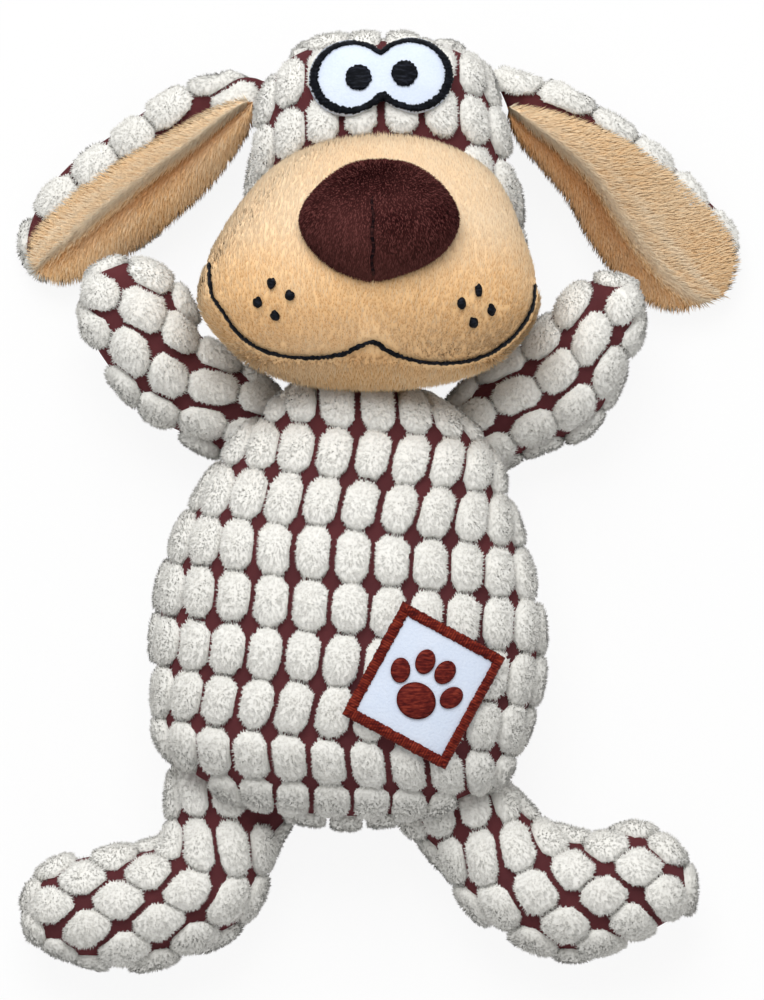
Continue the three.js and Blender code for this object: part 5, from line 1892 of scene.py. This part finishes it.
@dataclass
class Ear:
    """An ear: a thin tufted outer panel, and a plush inner panel whose upper edge rolls over a valley."""

    side: str
    form: Form
    inner_rows: tuple[Row, ...]
    tufts: Tufts
    upper: float  # which way across the ear its upper edge is
    valley: Flat  # where the valley is at the root and at the tip, from -1 at the lower edge to 1
    shadow: float  # how deep the painted shadow stays away from the valley
    inner_lift: float = 4.4
    inner_depth: float = 6.0
    ground: float = -1.2
    plush: float = -0.8  # the inner panel's cloth under its pile
    roll: float = 3.0
    fill: float = 0.6
    pile_seed: int = 31
    tufts_from: float = -0.72  # from where across the ear, as a share of its half width
    hinge: Flat = (-6.0, 9.0)  # where along the ear its hinge starts and ends
    hinge_height: float = 12.0

    def inner_form(self) -> Form:
        """The inner panel's form."""
        lift = self.form.lift + self.inner_lift
        return replace(self.form, rows=self.inner_rows, depth=self.inner_depth, lift=lift)

    def ways(self) -> tuple[Array, Array]:
        """The directions along the ear and across it to its upper edge."""
        turn = math.radians(self.form.turn)
        along = np.array([math.cos(turn), math.sin(turn), 0.0])
        return along, np.array([-along[1], along[0], 0.0]) * self.upper

    def fold(self, points: Array) -> tuple[Array, Array, Array]:
        """Where points are on the inner panel.

        Args:
            points: Points in millimetres.

        Returns:
            How far each is from the valley across the ear as a share of its half width, how far along it is
            from 0 to 1, and how far across from -1 at the lower edge to 1.
        """
        form = self.inner_form()
        low, high, _ = form.sections(form.ease(160))
        along, across = self.ways()
        place = points[:, :2] - [form.x, form.y]
        a, b = place @ along[:2], place @ across[:2] * self.upper
        centre = (low + high) / 2
        t = np.interp(a, centre[:, 0], np.linspace(0, 1, len(centre)))
        middle = np.interp(a, centre[:, 0], centre[:, 1])
        half = np.maximum(np.interp(a, centre[:, 0], (high - low)[:, 1] / 2), 1.0)
        s = (b - middle) / half * self.upper
        return s - (self.valley[0] + (self.valley[1] - self.valley[0]) * t), t, s

    def rolled(self, bm: Mesh) -> None:
        """Rolls the inner panel's upper part up and draws in the valley below it.

        Args:
            bm: The inner panel's skin, in metres.
        """
        spots = np.array([vert.co[:] for vert in bm.verts]) / MM
        d, t, _ = self.fold(spots)
        rise = np.clip((d + 0.06) / 0.3, 0, 1)
        rise = rise * rise * (3 - 2 * rise) * hump(np.maximum(d - 0.4, 0), 0.0, 0.5)
        lift = self.roll * rise - 0.5 * hump(d, -0.12, 0.15) + 0.9 * hump(d, -0.6, 0.3)
        lift *= np.sin(np.pi * np.clip(t, 0.02, 0.98)) ** 0.5 * np.interp(t, [0, 0.4, 0.9], [1.0, 0.9, 0.25])
        for vert, more in zip(bm.verts, lift):
            if vert.normal.z > 0.1:
                vert.co.z += more * MM

    def streaming(self, points: Array, normals: Array) -> Array:
        """Which way the inner pile lies: along the ear and away from the valley."""
        along, across = self.ways()
        d, t, _ = self.fold(points)
        way = along * (0.9 - 0.5 * t)[:, None] + across * np.tanh(d * 5)[:, None] * 0.8
        return (way - normals * (way * normals).sum(1)[:, None]) * 1.4

    def shading(self, points: Array) -> Array:
        """How much painted shadow the inner pile carries under its roll, and less than 0 where painted sheen
        lightens it.
        """
        d, t, _ = self.fold(points)
        # Painted shadow under the roll, fading towards the tip
        under = np.clip((0.02 - d) / 0.08, 0, 1) * np.interp(t, [0, 0.5, 0.85], [1.0, 0.8, 0.25])
        deep = under * (self.shadow + (1 - self.shadow) * hump(d, -0.05, 0.3))
        # Painted sheen: a pale band along the roll's lower flank, and one higher up towards the tip
        gloss = hump(d, 0.16, 0.12) + hump(d, 0.5, 0.1) * np.clip(2 * t - 0.5, 0, 1)
        # with a slight painted light over the whole panel
        return deep - (0.75 * gloss + 0.2) * (1 - deep)

    def build(self) -> None:
        """Makes both panels and finds the line of their hinge from the seam on the head."""
        body = f"ear_{self.side}"
        inner_form = self.inner_form()
        inside = Surface(inner_form, 0.0)
        outer = Tufted(
            body, self.form, self.tufts, self.tufts, self.ground, self.fill,
            hidden=either(clear_of((inside, 1.5)), lambda points: self.fold(points)[2] < self.tufts_from),
            bare=clear_of((inside, 0.2)),
        )
        cover = outer.cover()
        pile = replace(TUFT_PILE, seed=self.pile_seed)
        tufts = outer.tufts(f"{body}_tufts", [Side.FRONT, Side.BACK], pile)
        bm = shell(inner_form, self.plush, 72, 80)
        self.rolled(bm)
        inner = piece_of(f"{body}_plush", face_out(bm), TAN)
        low = self.form.lift - 2
        dress(inner, EAR_PILE, lambda points: points[:, 2] < low, self.streaming, self.shading)
        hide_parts(f"{body}_outer_panel")
        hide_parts(f"{body}_inner_panel")
        root, along = np.array([self.form.x, self.form.y, self.hinge_height]), self.ways()[0]
        start, end = (root + along * reach for reach in self.hinge)
        for piece in (cover, tufts, inner):
            bend(piece, "head", body, start, end)


@dataclass
class Limb(Tufted):
    """An arm or a leg on the body."""

    body: str = ""
    start: Spot = (0, 0, 0)
    end: Spot = (0, 0, 0)

    def build(self) -> None:
        """Makes the cover and the tufts."""
        cover = self.cover()
        tufts = self.tufts(f"{self.name}_tufts", [Side.FRONT, Side.BACK])
        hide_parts(self.name)
        for piece in (cover, tufts):
            bend(piece, "torso", self.body, self.start, self.end)


# The studio


@dataclass
class Studio:
    """A pale floor, soft light from above the toy's head and a camera straight over it."""

    aim: Flat = (9.35, 27.5)
    frame_height: float = 275.0
    distance: float = 4000.0
    subject: float = 40.0  # the height at which the frame is measured
    world: float = 0.58
    lamp: float = 18.0
    lamp_side: float = 1.0
    lamp_place: Spot = (-0.15, 0.95, 1.35)
    lamp_aim: Spot = (0, 0, 0.03)
    floor_half: float = 3.0
    floor_grey: float = 0.9
    floor_white: float = 0.9  # how much of the floor's white is the backdrop's own

    def build(self) -> None:
        """Makes the camera, the light and the floor."""
        scene = bpy.context.scene
        scene.view_settings.view_transform = "Standard"
        camera = bpy.data.cameras.new("camera")
        camera.lens = camera.sensor_width * (self.distance - self.subject) / self.frame_height
        camera.clip_end = 20.0
        holder = bpy.data.objects.new("camera", camera)
        holder.location = (self.aim[0] * MM, self.aim[1] * MM, self.distance * MM)
        scene.collection.objects.link(holder)
        scene.camera = holder
        world = bpy.data.worlds.new("studio")
        world.use_nodes = True
        world.node_tree.nodes.clear()
        graph = Graph(world.node_tree)
        seen = self.seen(graph)
        soft = graph.node("ShaderNodeBackground", None, {"Color": (1, 1, 1, 1), "Strength": self.world})
        white = graph.node("ShaderNodeBackground", None, {"Color": (1, 1, 1, 1), "Strength": 1.0})
        both = graph.node("ShaderNodeMixShader", None, {0: seen, 1: soft, 2: white})
        graph.node("ShaderNodeOutputWorld", None, {"Surface": both})
        scene.world = world
        light = bpy.data.lights.new("softbox", "AREA")
        light.shape, light.size, light.energy = "SQUARE", self.lamp_side, self.lamp
        lamp = bpy.data.objects.new("softbox", light)
        lamp.location = self.lamp_place
        lamp.rotation_euler = (Vector(self.lamp_aim) - lamp.location).to_track_quat("-Z", "Y").to_euler()
        scene.collection.objects.link(lamp)
        bm = bmesh.new()
        bmesh.ops.create_grid(bm, x_segments=1, y_segments=1, size=self.floor_half)
        mesh = bpy.data.meshes.new("floor")
        bm.to_mesh(mesh)
        bm.free()
        floor = bpy.data.objects.new("floor", mesh)
        mesh.materials.append(self.floor())
        scene.collection.objects.link(floor)

    @staticmethod
    def seen(graph: Graph) -> Socket:
        """Whether a ray comes from the camera or from gloss or glass."""
        rays = graph.tree.nodes.new("ShaderNodeLightPath")
        camera, glossy, transmission = (
            Socket(graph, rays.outputs[f"Is {kind} Ray"]) for kind in ("Camera", "Glossy", "Transmission")
        )
        return camera + glossy + transmission

    def floor(self) -> bpy.types.Material:
        """The floor's white, which keeps a faint shadow."""
        made = bpy.data.materials.new("floor")
        made.use_nodes = True
        made.node_tree.nodes.clear()
        graph = Graph(made.node_tree)
        matt = graph.node("ShaderNodeBsdfDiffuse", None, {"Color": (self.floor_grey,) * 3 + (1,)})
        white = graph.node("ShaderNodeEmission", None, {"Color": (1, 1, 1, 1), "Strength": 1.0})
        share = self.seen(graph) * self.floor_white
        both = graph.node("ShaderNodeMixShader", None, {0: share, 1: matt, 2: white})
        graph.node("ShaderNodeOutputMaterial", None, {"Surface": both})
        return made


UNDER_EDGE = 0.3  # how far inside a sewn-on layer's edge the tufts under it are pressed
PRESSED = -0.2  # how far over the CAD's surface they stand there


def main() -> None:
    """Builds the toy and the studio in order."""
    logging.basicConfig(level=logging.INFO, format="%(name)s: %(message)s")
    Studio().build()
    body, head, muzzle = Surface(BODY), Surface(HEAD), Surface(MUZZLE)
    patch, eyes = BellyPatch(body), Eyes(head)
    on_patch = Press(body, patch.square(UNDER_EDGE), PRESSED)
    on_eyes = Press(head, eyes.outline(UNDER_EDGE, 80), PRESSED)
    limbs = [Surface(form) for form in (LEFT_ARM, RIGHT_ARM, LEFT_LEG, RIGHT_LEG)]
    Torso(
        "body", BODY,
        Tufts((-2.5, 53.6), -5.5, seed=2), Tufts((-2.5, 53.6), -5.5, seed=3),
        hidden=clear_of((head, 5.0), *((limb, 5.0) for limb in limbs)),
        press=on_patch,
        end_reach=17.0,
        bare=either(on_patch.covers, clear_of((head, 2.0))),
    ).build()
    patch.build()
    Skull(
        "head", HEAD,
        Tufts((14.6, 134.8), 0.0, size=(13.3, 8.9), seed=4, bow=0.0065), Tufts((9.4, 110.0), 0.0, seed=5),
        hidden=clear_of((muzzle, 3.5), (body, 5.0)),
        press=on_eyes,
        bare=either(on_eyes.covers, clear_of((muzzle, 0.8), (body, 2.0))),
    ).build()
    eyes.build()
    Snout(MUZZLE, NOSE_FORM).build()
    Ear(
        "left", LEFT_EAR, LEFT_EAR_INNER_ROWS, Tufts((-69.8, 119.9), 0.0, seed=6),
        upper=-1.0, valley=(0.4, -0.15), shadow=0.35,
    ).build()
    Ear(
        "right", RIGHT_EAR, RIGHT_EAR_INNER_ROWS, Tufts((74.6, 131.6), 0.0, seed=7, bend=0.013),
        upper=1.0, valley=(0.1, -0.8), shadow=0.72,
    ).build()
    near_body = clear_of((body, 4.0))
    for name, form, front, start, end in (
        ("arm_left", LEFT_ARM, Tufts((-45.5, 67.3), 20.0, seed=8), (-34, 48, 14), (-48, 62, 14)),
        ("arm_right", RIGHT_ARM, Tufts((58.4, 62.5), -5.0, seed=9), (40, 47, 14), (54, 60, 14)),
        ("leg_left", LEFT_LEG, Tufts((-62.0, -62.0), 24.0, seed=10), (-35, -51, 32), (-48, -64, 32)),
        ("leg_right", RIGHT_LEG, Tufts((55.0, -66.0), -33.0, seed=11), (31, -55, 32), (46, -64, 32)),
    ):
        Limb(
            name, form, front, front, LIMB_GROUND, hidden=near_body,
            end_reach=5.0 if "leg" in name else 0.0, body=name, start=start, end=end,
        ).build()


if __name__ == "__main__":
    main()
